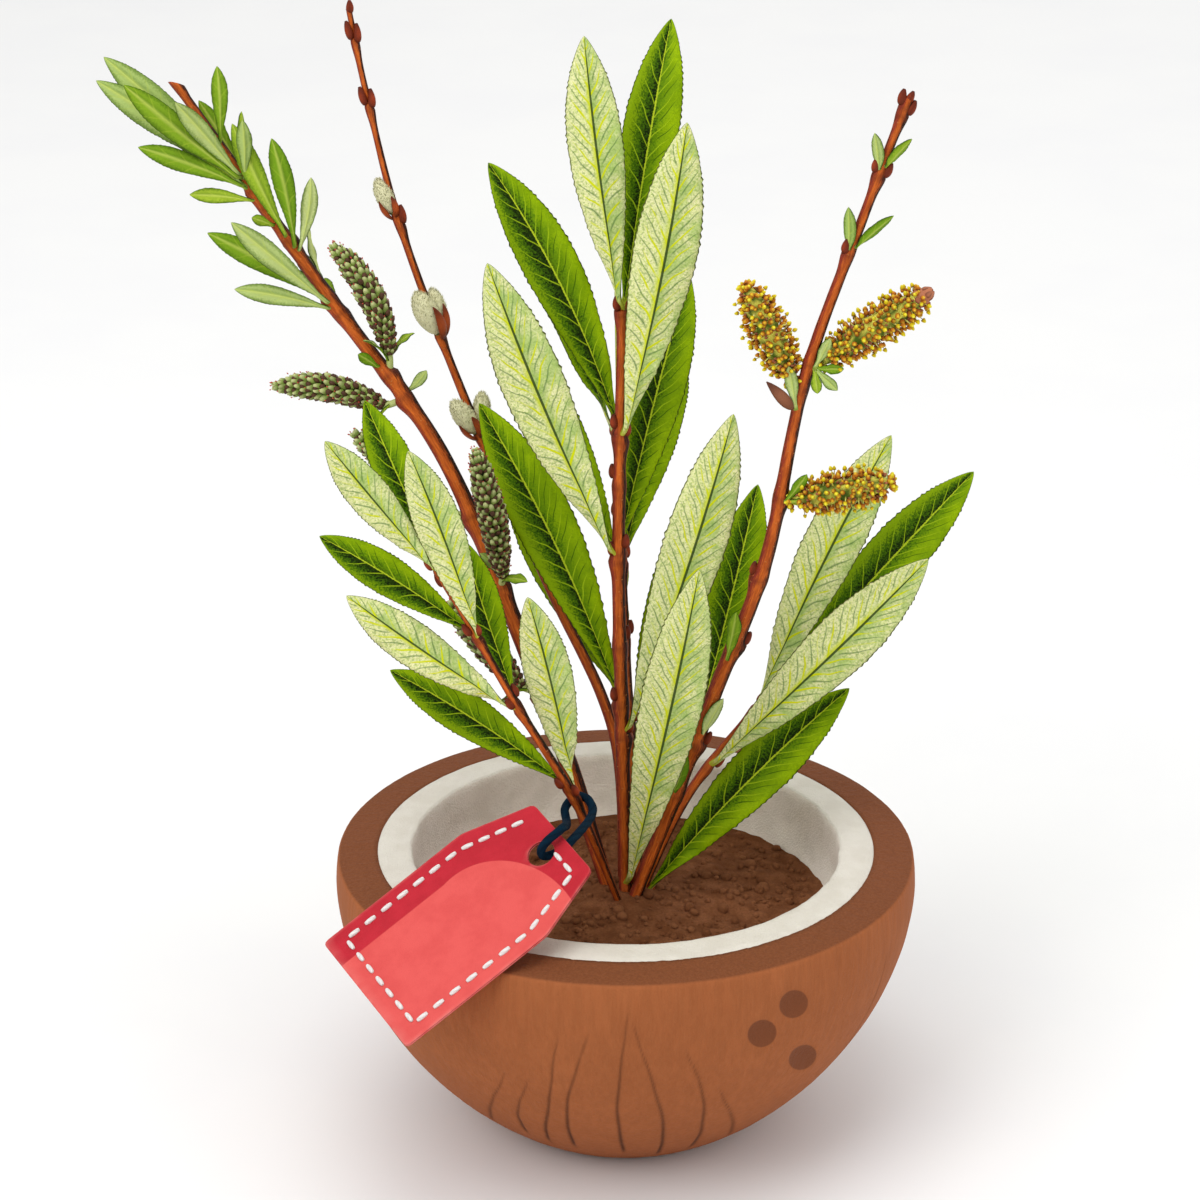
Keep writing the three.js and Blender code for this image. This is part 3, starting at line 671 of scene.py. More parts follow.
def leaf_young_finish(name, dull, fresh):
    """A young leaf: a painted highlight makes it paler in the middle, and painted shade makes it darker
    towards its margins and along one half.
    """
    leaf = LeafSide(name, 0.6, 0.2)
    half, edge, speckle = leaf.half, leaf.edge, leaf.speckle
    shift = speckle * 0.2 - 0.1
    painted_shade = ramp(half, 0.04, 0.12) * ramp(half + shift, 0.7, 0.1)
    color = coats(dull,
                  (leaf.tone, fresh),
                  (speckle * 0.3, dull),
                  # Painted shade towards the margins, then painted shade along one half.
                  (ramp(edge + shift, 0.45, 0.98) * 0.7, (72, 110, 16)),
                  (painted_shade * 0.5, (64, 104, 14)),
                  (leaf.line * 0.3, (190, 206, 70)),
                  # A painted highlight down the middle.
                  (ramp(edge, 0.32, 0.0) * 0.5, (206, 218, 104)))
    return leaf.finish_leaf(color, (46, 66, 16), (150, 172, 70), speckle)


def bark_finish():
    """Orange-brown willow bark with pale pores, painted with light and shade across the stem: dark red on
    the left, partly the bark's own sun-reddened colour and partly painted light, and painted shade from
    dark brown to nearly black on the right.
    """
    bark = Finish("willow_bark", 0.55, 0.14)
    grain = bark.value("grain")
    # side is how far each place faces right across the view. The colours below lay painted light and shade
    # by it.
    side, scar, _ = parts_of(bark.value("face"))
    streaks, threads = use_effect(FIBRES, Place=stretch(grain, (1, 1, 0.1)), Fineness=1.5)
    edge = side + (threads * 0.3 - 0.15)
    pore = ramp(cells(stretch(grain, (1, 1, 1.7)), 0.42), 0.16, 0.08)
    color = coats((172, 76, 22),
                  (streaks, (222, 112, 38)),
                  # Painted light in part: a red flush on the left. Then a thin dark line of painted shade
                  # at the far left edge.
                  (ramp(edge, -0.3, -0.75) * 0.85, (140, 44, 38)),
                  (ramp(edge, -0.8, -1.0), (64, 24, 14)),
                  # Painted shade: dark brown, then nearly black, on the right side.
                  (ramp(edge, 0.15, 0.6), (104, 44, 14)),
                  (ramp(edge, 0.48, 0.74), (26, 12, 6)),
                  # Orange again at both far flanks, placed by the same facing as the painted light and
                  # shade.
                  (ramp(math("ABSOLUTE", side), 0.86, 0.97) * 0.85, (158, 70, 26)),
                  (pore * 0.45, (216, 140, 76)),
                  (scar * 0.45, (86, 32, 16)))
    return bark.finish(color, pore * 0.8 + threads, 0.00015, 0.6)


def wood_finish():
    """Pale cut wood."""
    wood = Finish("cut_wood", 0.75, 0.2)
    streaks, threads = use_effect(FIBRES, Place=wood.value("grain"), Fineness=2.5)
    return wood.finish(mix(streaks, (214, 170, 104), (178, 122, 62)), threads)


def graded_finish(name, foot, middle, tip, roughness=0.6, specular=0.3, shade=0.45):
    """A small part's colour from its foot to its tip, with a tone of its own for each one that darkens it
    towards a deep copy of its middle colour: at random, and as painted shade where the tone is raised.
    """
    part = Finish(name, roughness, specular)
    up = part.value("up", "Fac")
    speckle = mottle(part.place(), 0.5, 3.5)[1]
    # deep is a darker copy of the middle colour, for random tone and for painted shade.
    deep = tuple(0.4 * c for c in tint(*middle)[:3]) + (1.0,)
    color = coats(foot, (ramp(up, 0.0, 0.45), middle), (ramp(up, 0.5, 0.95), tip),
                  (part.value("tone", "Fac") * shade, deep), (speckle * 0.2, foot))
    return part.finish(color, speckle, 0.00008)


def toned_finish(name, low, high, roughness=0.6, specular=0.3):
    """A colour between two, dealt out to each small part by its tone."""
    part = Finish(name, roughness, specular)
    speckle = mottle(part.place(), 0.6, 4.0)[1]
    color = coats(low, (part.value("tone", "Fac"), high), (speckle * 0.25, low))
    return part.finish(color, speckle, 0.00006, 0.4)


# The eyes look round from the front and a little above. This is the way up for that look: back and up.
EYE_UP = (float(np.sin(np.radians(EYES["look"]))), float(np.cos(np.radians(EYES["look"]))))


def eye_middles():
    """Where each eye's middle is as that look shows it: across and up."""
    middles = []
    power = BOWL["roundness"]
    for bearing, height in EYES["places"]:
        level = (1 - ((BOWL["widest"] - height) / BOWL["depth"]) ** power) ** (1 / power)
        radius, angle = BOWL["radius"] * level, np.radians(bearing)
        middles.append((float(radius * np.sin(angle)),
                        float(height * EYE_UP[1] - radius * np.cos(angle) * EYE_UP[0])))
    return middles


def husk_finish():
    """Brown shell: streaks of fibre down its side, darker cut rim and eyes, dark cracks."""
    husk = Finish("coconut_husk", 0.75, 0.12)
    place = husk.place()
    x, y, z = parts_of(place)
    cut, crack, _ = parts_of(husk.value("wear"))
    streaks, threads = use_effect(FIBRES, Place=stretch(place, (1, 1, 0.12)), Fineness=0.55)
    patches, speckle = mottle(place, 0.045, 1.4)
    color = coats((160, 92, 52),
                  (streaks, (171, 99, 57)),
                  (patches * 0.4, (152, 86, 48)),
                  (threads * 0.16, (176, 110, 68)),
                  (cut, mix(speckle, (120, 68, 39), (132, 77, 46))))
    up = z * EYE_UP[1] + y * EYE_UP[0]
    front = ramp(y, -5, -15)
    for eye_x, eye_up in eye_middles():
        gap = math("SQRT", (x - eye_x) ** 2.0 + (up - eye_up) ** 2.0)
        color = mix(front * ramp(gap, EYES["radius"] + 0.1, EYES["radius"] - 0.35), color, (126, 72, 44))
    return husk.finish(mix(crack, color, (78, 42, 24)), speckle * 0.4 + streaks, 0.0003)


def flesh_finish():
    """Cream flesh, a little greyer on its cut ring than down the inner wall, whose cream is painted lighter
    as painted light against the shade inside the bowl.
    """
    flesh = Finish("coconut_flesh", 0.6, 0.2)
    cut, edge, _ = parts_of(flesh.value("wear"))
    patches, speckle = mottle(flesh.place(), 0.12, 1.8)
    # Painted light: the inner wall is lifted to full brightness, as it stands in shade inside the bowl.
    wall = mix(patches, tint(244, 236, 224, 1), tint(232, 224, 211, 1))
    ring = mix(patches, (228, 222, 210), (220, 213, 200))
    return flesh.finish(coats(wall, (cut, ring), (edge * 0.4, (196, 176, 150))), speckle, 0.00025)


def soil_finish():
    """Dark crumbly soil."""
    soil = Finish("potting_soil", 0.95, 0.1)
    place = soil.place()
    patches, speckle = mottle(place, 0.22, 1.6)
    color = coats((122, 73, 42), (patches, (148, 94, 60)), (speckle * 0.5, (100, 60, 34)),
                  (soil.value("tone", "Fac") * 0.5, (166, 110, 72)))
    return soil.finish(color, noise(place, 2.8, 4.0, 0.7), 0.0007, 0.9)


def card_finish():
    """Matt card in two reds. The lighter field has a straight edge and a rounded end."""
    card = Finish("label_card_face", 0.65, 0.25)
    along, across, worn = parts_of(card.value("card"))
    field = ramp(across, -11.9, -11.5) * ramp(along, -4.2, -3.9)
    oval = ((along + 4.0) / 19.0) ** 2.0 + ((across - 14.0) / 26.0) ** 2.0
    field = math("MAXIMUM", field, ramp(oval, 1.012, 0.988))
    patches, speckle = mottle(card.place(), 0.15, 3.0)
    deep = mix(patches, (186, 24, 42), (196, 30, 48))
    pale = mix(patches, (228, 88, 84), (221, 80, 77))
    return card.finish(coats(deep, (field, pale), (worn * 0.5, (238, 150, 140))), speckle)


def thread_finish(name, painted_shade, light):
    """Spun thread with painted shade in the grooves between its strands."""
    thread = Finish(name, 0.75, 0.08)
    strand = parts_of(thread.value("lay"))[0]
    speckle = mottle(thread.place(), 0.8, 4.5)[1]
    # Painted shade: the darker colour in the grooves, the lighter one on the strands.
    return thread.finish(coats(painted_shade, (strand, light), (speckle * 0.3, painted_shade)), speckle, 0.00012, 0.6)


LEAF_UPPER = leaf_upper_finish()
LEAF_UNDER = leaf_under_finish()
BARK = bark_finish()
CUT_WOOD = wood_finish()
YOUNG_UPPER = leaf_young_finish("young_leaf_upper_side", (116, 158, 28), (180, 204, 60))
YOUNG_UNDER = leaf_young_finish("young_leaf_under_side", (166, 194, 100), (212, 222, 150))
# Buds: red-brown with a dark foot and tip. Their tone, raised at the flanks, darkens them with painted
# shade.
BUD_SKIN = graded_finish("bud_skin", (78, 28, 14), (162, 62, 28), (58, 20, 12), 0.5, 0.15, 0.95)
# Seed capsules: the dark foot is painted shade in the gaps between them, and the cream tip is a painted
# highlight.
SEED_GREEN = graded_finish("seed_capsule_green", (60, 76, 26), (134, 156, 66), (212, 216, 150))
SEED_SCALE = graded_finish("seed_scale_brown", (44, 36, 16), (92, 58, 32), (92, 50, 30))
SEED_POINT = toned_finish("seed_point_red", (186, 62, 50), (208, 96, 76))
# The seed catkin's core is nearly black: painted shade for the gaps between its capsules.
SHADED_CORE = toned_finish("seed_catkin_core", (34, 40, 14), (66, 62, 28))
CORE_GREEN = toned_finish("pollen_catkin_core", (84, 112, 6), (250, 244, 96))
STALK_GREEN = toned_finish("catkin_stalk_green", (164, 180, 96), (206, 212, 142))
FILAMENT = toned_finish("pollen_filament", (222, 222, 96), (244, 240, 160), 0.5)
# Anthers: the darker foot is painted shade, and the pale tip is partly the anther's own yellow and partly a
# painted highlight.
ANTHER_YELLOW = graded_finish("yellow_anther", (168, 126, 14), (222, 196, 22), (252, 244, 70), 0.6, 0.1)
ANTHER_BROWN = graded_finish("brown_anther", (108, 50, 22), (206, 124, 36), (246, 202, 54), 0.6, 0.1)
# Scales darken with their tone, which add_valve raises along their edges as painted shade.
CLOSED_SCALE = toned_finish("closed_scale", (192, 118, 82), (112, 62, 42))
SHELL_SCALE = graded_finish("catkin_scale", (70, 26, 14), (192, 84, 32), (92, 36, 18), 0.5, 0.15, 0.85)
FOOT_SCALE = graded_finish("catkin_foot_scale", (124, 76, 50), (152, 96, 68), (92, 52, 40), 0.6, 0.12, 0.8)
FUR = toned_finish("silver_fur", (112, 116, 70), (252, 247, 204), 0.8, 0.05)
HUSK = husk_finish()
FLESH = flesh_finish()
SOIL_FINISH = soil_finish()
CARD = card_finish()
# The first colour of each thread is the painted shade in its grooves.
STITCH = thread_finish("stitch_thread", (222, 214, 210), (250, 248, 246))
CORD = thread_finish("label_cord_navy", (0, 22, 38), (2, 36, 56))


# Leaves

LEAF_COLUMNS = [-1, -0.8, -0.58, -0.34, -0.13, -0.05, 0, 0.05, 0.13, 0.34, 0.58, 0.8, 1]
SMALL_COLUMNS = [-1, -0.6, -0.16, 0, 0.16, 0.6, 1]


def leaf_rows(length):
    """How finely a leaf of this length is made."""
    if length > 40:
        return 96
    return 56 if length > 24 else 24 if length > 9 else 12


def blade_shape(share, age):
    """How wide a leaf is along its length. It is widest nearer its tip than its foot."""
    return np.sin(np.pi * np.clip(share, 0, 1) ** age["widest"]) ** 0.75


def leaf_cells(count):
    """A cell for each side of each leaf, in a grid over the piece's atlas."""
    columns = max(1, round((count / 14) ** 0.5))
    rows = -(-count // columns)
    gap = 0.002
    return [((i // rows) / columns + gap, (i % rows) / rows + gap,
             (i // rows + 1) / columns - gap, (i % rows + 1) / rows - gap) for i in range(count)]


def in_cell(cell, u, v):
    return np.stack([cell[0] + (cell[2] - cell[0]) * u, cell[1] + (cell[3] - cell[1]) * v], axis=-1)


def rim_cells(cell, low, high, near, far):
    """Where the narrow faces along a leaf's margin lie in an atlas cell."""
    corners = [(near, low), (near, high), (far, high), (far, low)]
    return np.stack([in_cell(cell, np.full(len(low), u), v) for u, v in corners], axis=1)


def add_leaf(heap, line, row, age, cells, tone, wave, stem_radius=0.0, swapped=False):
    """One leaf: two sides with a midrib and pleated side veins, a toothed margin and a stalk."""
    place, turn, splay, length, twist, arch = row
    rows = leaf_rows(length)
    t = np.array(LEAF_COLUMNS if length > 12 else SMALL_COLUMNS)[None, :]
    columns = t.shape[1]
    half_width = min(age["width_base"] + age["width_share"] * length, MAX_WIDTH) / 2
    walk = Walk(line, place, turn, splay, length, arch, 96)
    share = (np.arange(rows) / (rows - 1))[:, None]
    sweep = 1.45 * half_width * blade_shape(share, age) / length
    s = np.clip(share + sweep * np.abs(t) ** 0.85, 0, 1)
    stalk = 0.42 + 0.004 * length
    half = np.maximum(half_width * blade_shape(s, age), stalk * (1 - step(0.86, 1.0, s)) + 0.1)
    vein_count = max(4, round(length / 5.4))
    veins = share * vein_count + np.where(t > 0, 0.5, 0) + tone
    inside = np.sin(np.pi * np.abs(t)) ** 0.7
    pleat = 0.012 * half_width * np.cos(TAU * veins) * inside * step(0.06, 0.2, s) * step(1, 0.85, s)
    ripple = age["wave"] * half_width * np.sin(TAU * (2.6 * s + wave + 0.2 * np.sign(t))) * t ** 2
    ripple = ripple * step(0.1, 0.3, s) * step(1, 0.8, s)
    bite = scatter(np.arange(rows)[:, None], np.round(50 * tone + np.sign(t)), t * 0)
    tooth = np.where(np.arange(rows)[:, None] % 2 == 0, 0.02 + 0.05 * bite, 0.02 * bite)
    tooth = tooth * half_width * (np.abs(t) > 0.99)
    half = half + tooth * step(0.12, 0.25, s) * step(0.97, 0.85, s)
    roll = np.radians(twist) * np.minimum(s / ROLL_BY, 1)
    above, across = walk.at(walk.above, s), walk.at(walk.across, s)
    up = above * np.cos(roll)[..., None] - across * np.sin(roll)[..., None]
    side = across * np.cos(roll)[..., None] + above * np.sin(roll)[..., None]
    lift = FOLD * half * np.abs(t) ** 1.5 + pleat + ripple
    slender = step(1.6, 0.8, half) * (s < 0.5)
    thick = 0.32 + (1.6 * stalk - 0.32) * slender
    flat = np.sqrt(np.clip(1 - 0.92 * t ** 2, 0, 1))
    body = thick / 2 * (slender * flat + (1 - slender) * (1 - 0.45 * t ** 2))
    reach_out = t * half
    groove = 0.15 * np.exp(-(reach_out / 0.3) ** 2) * (1 - slender)
    rib = 0.45 * (1 - s) ** 0.6 * np.exp(-(reach_out / 0.42) ** 2) * (1 - slender)
    front = line.frame(place)[1] * (1 if np.cos(np.radians(turn)) > -0.3 else -1)
    clear = (front * 0.95 + line.away(place, turn) * 0.3) * stem_radius
    middle = walk.at(walk.point, s) + side * reach_out[..., None] + clear * step(0.0, 0.05, s)[..., None]
    top = middle + up * (lift + body - groove)[..., None]
    under = middle + up * (lift - body - rib)[..., None]
    # This sign turns the leaf's half so that its negative side lies to the left as seen from the front,
    # where painted shade goes.
    shade_side = np.sign(side[rows // 2, columns // 2, 0]) or 1
    values = dict(blade=triple(veins, t * shade_side, tone), grown=share * np.ones_like(t))
    first = heap.add_points(top, **values)
    below = heap.add_points(under, **values)
    u = share * np.ones_like(t) * 0.97
    v = (t + 1) / 2 * np.ones_like(share)
    sides = (1, 0) if swapped else (0, 1)
    for start, cell, finish in ((first, cells[0], sides[0]), (below, cells[1], sides[1])):
        faces = grid_faces(rows, columns, start, flip=start == first)
        corner = faces - start
        heap.add_faces(faces, in_cell(cell, u.ravel()[corner], v.ravel()[corner]), finish)
    rims = [(columns - 1, columns, rows, 0, 1, False), (0, columns, rows, 1, 0, True),
            (0, 1, columns, 0, 0, False), ((rows - 1) * columns, 1, columns, 1, 0, True)]
    for start, stride, count, cell, finish, flip in rims:
        k = np.arange(count - 1)
        a, b = first + start + k * stride, below + start + k * stride
        faces = np.stack([a, a + stride, b + stride, b], axis=-1)
        near, far = (0.98, 0.99) if stride > 1 else (0.993, 1.0)
        spots = rim_cells(cells[cell], k / count, (k + 1) / count, near, far)
        if flip:
            faces, spots = faces[:, ::-1], spots[:, ::-1]
        heap.add_faces(faces, spots, finish, False)


def age_of(length):
    if length < TINY["below"]:
        return TINY
    return YOUNG if length < YOUNG["below"] else GROWN


def stem_radius_at(line, place):
    """Radius of the stem that a leaf grows from, or a twig's where it isn't one of the stems."""
    for name, own in LINES.items():
        if own is line:
            return float(radius_at(STEMS[name], line, place, []))
    return 0.5


def show_leaves(name, leaves, replaced, finishes, mixed=False):
    """All the leaves of one mass. Each is a line, a row and its age. Mixed ones show either side."""
    chance = chance_run(name)
    heap = Heap(blade="FLOAT_VECTOR", grown="FLOAT")
    cells = leaf_cells(2 * len(leaves))
    for i, (line, row, age) in enumerate(leaves):
        radius = stem_radius_at(line, row[0])
        tone, wave = chance.random(), chance.random()
        swapped = False
        if mixed:
            walk = Walk(line, *row[:4], row[5], 8)
            roll = np.radians(row[4])
            up = walk.above[4] * np.cos(roll) - walk.across[4] * np.sin(roll)
            swapped = bool((up[1] > 0) == (chance.random() < 0.68))
        add_leaf(heap, line, row, age, cells[2 * i:2 * i + 2], tone, wave, radius, swapped)
    return show(name, heap, finishes, replaced, atlas=True)


# Stems and buds

LINES = {name: Line(stem["line"]) for name, stem in STEMS.items()}
# Where each stem's leaves, catkins and buds stand: the place along it and the turn round it.
NODES = {name: [row[:2] for row in LEAVES.get(name, [])] for name in STEMS}
NODES["left"] = [row[:2] for row in SEED_CATKINS + LEFT_TWIGS] + [(211, 290), (195, 90), (177, 320)]
NODES["slim"] = [row[:2] for row in SILVER_CATKINS + SLIM_BUDS]
NODES["right"] = [row[:2] for row in POLLEN_CATKINS + RIGHT_BUDS] + [(52, 184)]


def add_limb(heap, stem, line, nodes, around, tip_cut=0.0):
    """A tapering stem with swollen nodes, fine ribs along its bark and small dents."""
    count = max(8, int(line.length / 1.1))
    place = np.linspace(0, line.length, count)
    along, front, right = line.frame(place)
    angle = steps_round(around)
    radius = radius_at(stem, line, place, nodes)[:, None] * np.ones(around)
    grain = triple(radius * np.cos(angle), radius * np.sin(angle), place[:, None])
    relief = 0.5 * lumps(grain * (1, 1, 0.12), 0.7) + 0.5 * lumps(grain * (1, 1, 0.25), 1.9)
    radius = radius * (1 + 0.045 * relief)
    radius = radius * (1 - 0.26 * step(38, 5, place))[:, None]
    for node, turn in nodes:
        reach = np.where(place < node, 4.0, 0.9)
        cushion = 0.4 * np.exp(-((place - node) / reach) ** 2)[:, None]
        radius = radius * (1 + cushion * np.clip(np.cos(angle - np.radians(turn)), 0, 1))
    centres = line.at(place)[:, None]
    if tip_cut:
        end = line.length
        slant = np.cos(angle + 1.2)[None, :] * tip_cut * step(end - 6, end, place)[:, None]
        flare = (1 - 0.22 * step(end - 60, end - 8, place)) * (1 + 0.3 * step(end - 5, end, place))
        radius = radius * flare[:, None]
        centres = centres + along[:, None, :] * slant[..., None]
    ring = rings_round(front, right, angle)
    points = centres + ring * radius[..., None]
    scar = np.zeros_like(place)
    for node, _ in nodes:
        scar = np.maximum(scar, np.exp(-((place - node) / 0.9) ** 2))
    # face holds how far each side of the stem faces right across the view, which the bark paints as light
    # and shade, and the node scars.
    face = triple(ring[..., 0], scar[:, None])
    first = heap.add_points(points, grain=grain, face=face)
    tip = points[-1].mean(axis=0)
    inner = tip + (points[-1] - tip) * 0.72 + along[-1] * 0.25
    cap = heap.add_points(inner, grain=grain[-1], face=face[-1])
    heap.add_faces(grid_faces(count + 1, around, first, wrap=True))
    rise = along[-1] * (0.05 if tip_cut else 0.4)
    add_fan(heap, cap, around, inner + rise, True, 1 if tip_cut else 0, grain=grain[-1, :1])
    add_fan(heap, first, around, points[0], grain=grain[0, :1])


def side_twigs():
    """The left stem's side twigs and their leaves, by the source's own rule."""
    numbers = seeded_numbers(SEEDS["twigs"])
    twigs, leaves = [], []
    for place, turn, splay, length, count, leaf_length in LEFT_TWIGS:
        walk = Walk(LINES["left"], place, turn, splay, length, 0, 3)
        twig = Line(walk.point)
        twigs.append(twig)
        for i in range(count):
            share = (i + 1) / count
            leaf_turn = turn + GOLDEN * i + 20 * (next(numbers) - 0.5)
            size = leaf_length * (0.72 + 0.28 * share) * (0.92 + 0.16 * next(numbers))
            twist = 30 * (next(numbers) - 0.5)
            row = (twig.length * share - 1, leaf_turn, 44 - 34 * share, size, twist, 14)
            leaves.append((twig, row, age_of(size)))
    return twigs, leaves


TWIGS, TWIG_LEAVES = side_twigs()


def build_bark():
    """All the stems, from the soil to their tips, in one piece with the bark's relief."""
    heap = Heap(grain="FLOAT_VECTOR", face="FLOAT_VECTOR")
    for name, stem in STEMS.items():
        around = 24 if stem["foot"] > 2.5 else 18
        add_limb(heap, stem, LINES[name], NODES[name], around, 1.6 if name == "left" else 0.0)
    for twig in TWIGS:
        add_limb(heap, dict(foot=1.1, tip=0.6), twig, [], 12)
    show("willow_bark", heap, [BARK, CUT_WOOD],
         ["left_stem", "slim_stem", "right_stem", "root_crown"])


def add_plump(heap, spots, radii, up, tone=0.0, shaded=0.0):
    """A plump closed body round points with their directions. Its two sides can be shaded."""
    around = 12
    sides = np.clip(tone + shaded * np.sin(steps_round(around)) ** 4, 0, 1)
    add_tube(heap, *spots, radii, around, up=np.repeat(up, around), tone=np.tile(sides, len(radii)))


def add_bud(heap, line, place, turn, stem_radius, size=1.0, tone=0.0, plump=1.0):
    walk = Walk(line, place, turn, 8, BUD["length"] * size, -12, 10, stem_radius * BUD["sink"])
    u = walk.share[1:-1]
    radii = BUD["radius"] * plump * size ** 0.7 * np.sin(np.pi * u ** 0.7) ** 0.7
    # Painted shade darkens each bud's two flanks.
    add_plump(heap, walk.spots(u), radii, u, 0.4 * tone, 0.9)


def build_buds():
    """Winter buds on the catkin stems and at their tips, and a small one in the crook of each leaf longer
    than 24 mm, except on the left stem.
    """
    heap = Heap(up="FLOAT", tone="FLOAT")
    chance = chance_run("buds")
    for name, rows, size, plump in (("slim", SLIM_BUDS, 1.2, 0.8), ("right", RIGHT_BUDS, 0.95, 1)):
        for place, turn in rows:
            radius = stem_radius_at(LINES[name], place)
            add_bud(heap, LINES[name], place, turn, radius, size, chance.random(), plump)
    for name, rows in LEAVES.items():
        for row in rows:
            if row[3] > 24 and name != "left":
                radius = stem_radius_at(LINES[name], row[0])
                turn = 58 if np.cos(np.radians(row[1])) > -0.95 else 122
                turn = turn if np.sin(np.radians(row[1])) > 0 else 360 - turn
                add_bud(heap, LINES[name], row[0] + 1.2, turn, radius, 0.9, chance.random())
    for name in ("slim", "right"):
        line = LINES[name]
        add_bud(heap, line, line.length - 1.5, 90, 0, 0.8, chance.random())
    show("stem_buds", heap, [BUD_SKIN], ["slim_catkins", "right_catkins"])


# Small shapes spread over a cloud of points

def spread_tree():
    """Geometry nodes that set a small shape at each point, along its facing and turned by its spin."""
    tree = bpy.data.node_groups.new("spread_small_shapes", "GeometryNodeTree")
    kinds = {"Points": "Geometry", "Shape": "Object", "Size spread": "Float", "Finish": "Material"}
    for label, kind in kinds.items():
        tree.interface.new_socket(name=label, in_out="INPUT", socket_type="NodeSocket" + kind)
    tree.interface.new_socket(name="Shapes", in_out="OUTPUT", socket_type="NodeSocketGeometry")
    sockets = tree.nodes.new("NodeGroupInput").outputs
    given = {label: Wire(sockets[label]) for label in kinds}

    def named(label, kind):
        return wire(tree, "GeometryNodeInputNamedAttribute", dict(Name=label), "Attribute", data_type=kind)

    turn = wire(tree, "FunctionNodeAxisAngleToRotation", dict(Axis=(0, 0, 1), Angle=named("spin", "FLOAT")))
    inputs = dict(Rotation=turn, Vector=named("facing", "FLOAT_VECTOR"))
    align = wire(tree, "FunctionNodeAlignRotationToVector", inputs, axis="Z")
    random = wire(tree, "FunctionNodeRandomValue", {2: -1.0, 3: 1.0, "Seed": 1}, 1, data_type="FLOAT")
    size = math("MULTIPLY_ADD", random, given["Size spread"], 1.0) * named("size", "FLOAT")
    shape = wire(tree, "GeometryNodeObjectInfo", dict(Object=given["Shape"]), "Geometry")
    inputs = dict(Points=given["Points"], Instance=shape, Rotation=align, Scale=size)
    instances = wire(tree, "GeometryNodeInstanceOnPoints", inputs)
    real = wire(tree, "GeometryNodeRealizeInstances", {0: instances})
    inputs = dict(Geometry=real, Material=given["Finish"])
    plug(tree.nodes.new("NodeGroupOutput").inputs[0], wire(tree, "GeometryNodeSetMaterial", inputs))
    return tree


SPREAD = spread_tree()


class Cloud:
    """Points for small shapes: where each is, the way it faces, its spin, size and tone."""

    def __init__(self):
        self.rows = []

    def add(self, points, facing, spin, size, tone):
        points = np.asarray(points, float).reshape(-1, 3)
        columns = [points, unit(np.asarray(facing, float).reshape(-1, 3))]
        for value in (spin, size, tone):
            columns.append(np.broadcast_to(np.asarray(value, float), len(points))[:, None])
        self.rows.append(np.hstack(columns))

    def mesh(self, name):
        rows = np.vstack(self.rows).astype(np.float32)
        mesh = bpy.data.meshes.new(name)
        mesh.vertices.add(len(rows))
        mesh.vertices.foreach_set("co", (rows[:, :3] * MM).ravel())
        facing = mesh.attributes.new("facing", "FLOAT_VECTOR", "POINT")
        facing.data.foreach_set("vector", rows[:, 3:6].ravel())
        for k, label in enumerate(("spin", "size", "tone")):
            values = mesh.attributes.new(label, "FLOAT", "POINT")
            values.data.foreach_set("value", np.ascontiguousarray(rows[:, 6 + k]))
        return mesh


def spread(name, cloud, shape, finish, replaced, size_spread=0.12):
    """Sets the shape at each point of the cloud and makes a plain mesh of the result."""
    scene = bpy.context.scene
    model = bpy.data.objects.new(name + "_shape", shape.mesh(name + "_shape"))
    scene.collection.objects.link(model)
    piece = bpy.data.objects.new(name, cloud.mesh(name + "_points"))
    scene.collection.objects.link(piece)
    modifier = piece.modifiers.new("spread", "NODES")
    modifier.node_group = SPREAD
    given = {"Shape": model, "Size spread": size_spread, "Finish": finish}
    for item in SPREAD.interface.items_tree:
        if item.in_out == "INPUT" and item.name in given:
            modifier[item.identifier] = given[item.name]
    piece.update_tag()
    bpy.context.view_layer.update()
    evaluated = piece.evaluated_get(bpy.context.evaluated_depsgraph_get())
    mesh = bpy.data.meshes.new_from_object(evaluated)
    piece.modifiers.remove(modifier)
    piece.data = mesh
    mesh.name = name
    bpy.data.objects.remove(model)
    return ride(piece, replaced)


def upright(u, heights, half_width, half_depth, radii, around, lean=0.0, **values):
    """A small closed shape with a ring at each height. Its u runs from 0 at the foot to 1 at the tip."""
    heap = Heap(up="FLOAT", **{name: "FLOAT_VECTOR" for name in values})
    centres = triple(lean * u ** 2, 0.0, heights)
    sides = [np.tile(side, (len(u), 1)) for side in ([half_width, 0, 0], [0, half_depth, 0])]
    add_tube(heap, centres, *sides, radii, around, up=np.repeat(u, around), **values)
    return heap


def body_shape(length, width, depth, around, rings, fullness=0.6, lean=0.0):
    """A small ovoid standing on its foot, for capsules, anthers and grains."""
    u = (np.arange(rings) + 0.5) / rings
    return upright(u, length * u, width / 2, depth / 2, np.sin(np.pi * u ** fullness) ** 0.6, around, lean)


def hair_shape(length, width, bend=0.0):
    """A thin three-sided hair, thick at its foot."""
    u = np.array([0, 0.5, 1])
    return upright(u, length * u, width / 2, width / 2, np.array([1, 0.8, 0.25]), 3, bend)


# Catkins

class Catkin:
    """A catkin's stalk and body, placed as the source places them."""

    def __init__(self, line, row, stalk):
        place, turn, splay, length, arch = row
        self.turn = turn
        self.stalk = Walk(line, place, turn, splay + 30, stalk + 2, -20, 3)
        self.body = Walk(line, place, turn, splay, length, arch, 24)
        foot = self.stalk.point[-1] - 1.5 * self.stalk.ahead[-1]
        self.body.point = self.body.point + (foot - self.body.point[0])
        self.length = length

    def ring(self, u, angle, radius):
        """Points round the body, and the directions out of it and ahead."""
        centre, above, across = self.body.spots(u)
        out = above * np.cos(angle)[:, None] + across * np.sin(angle)[:, None]
        return centre + out * np.asarray(radius)[:, None], out, self.body.at(self.body.ahead, u)


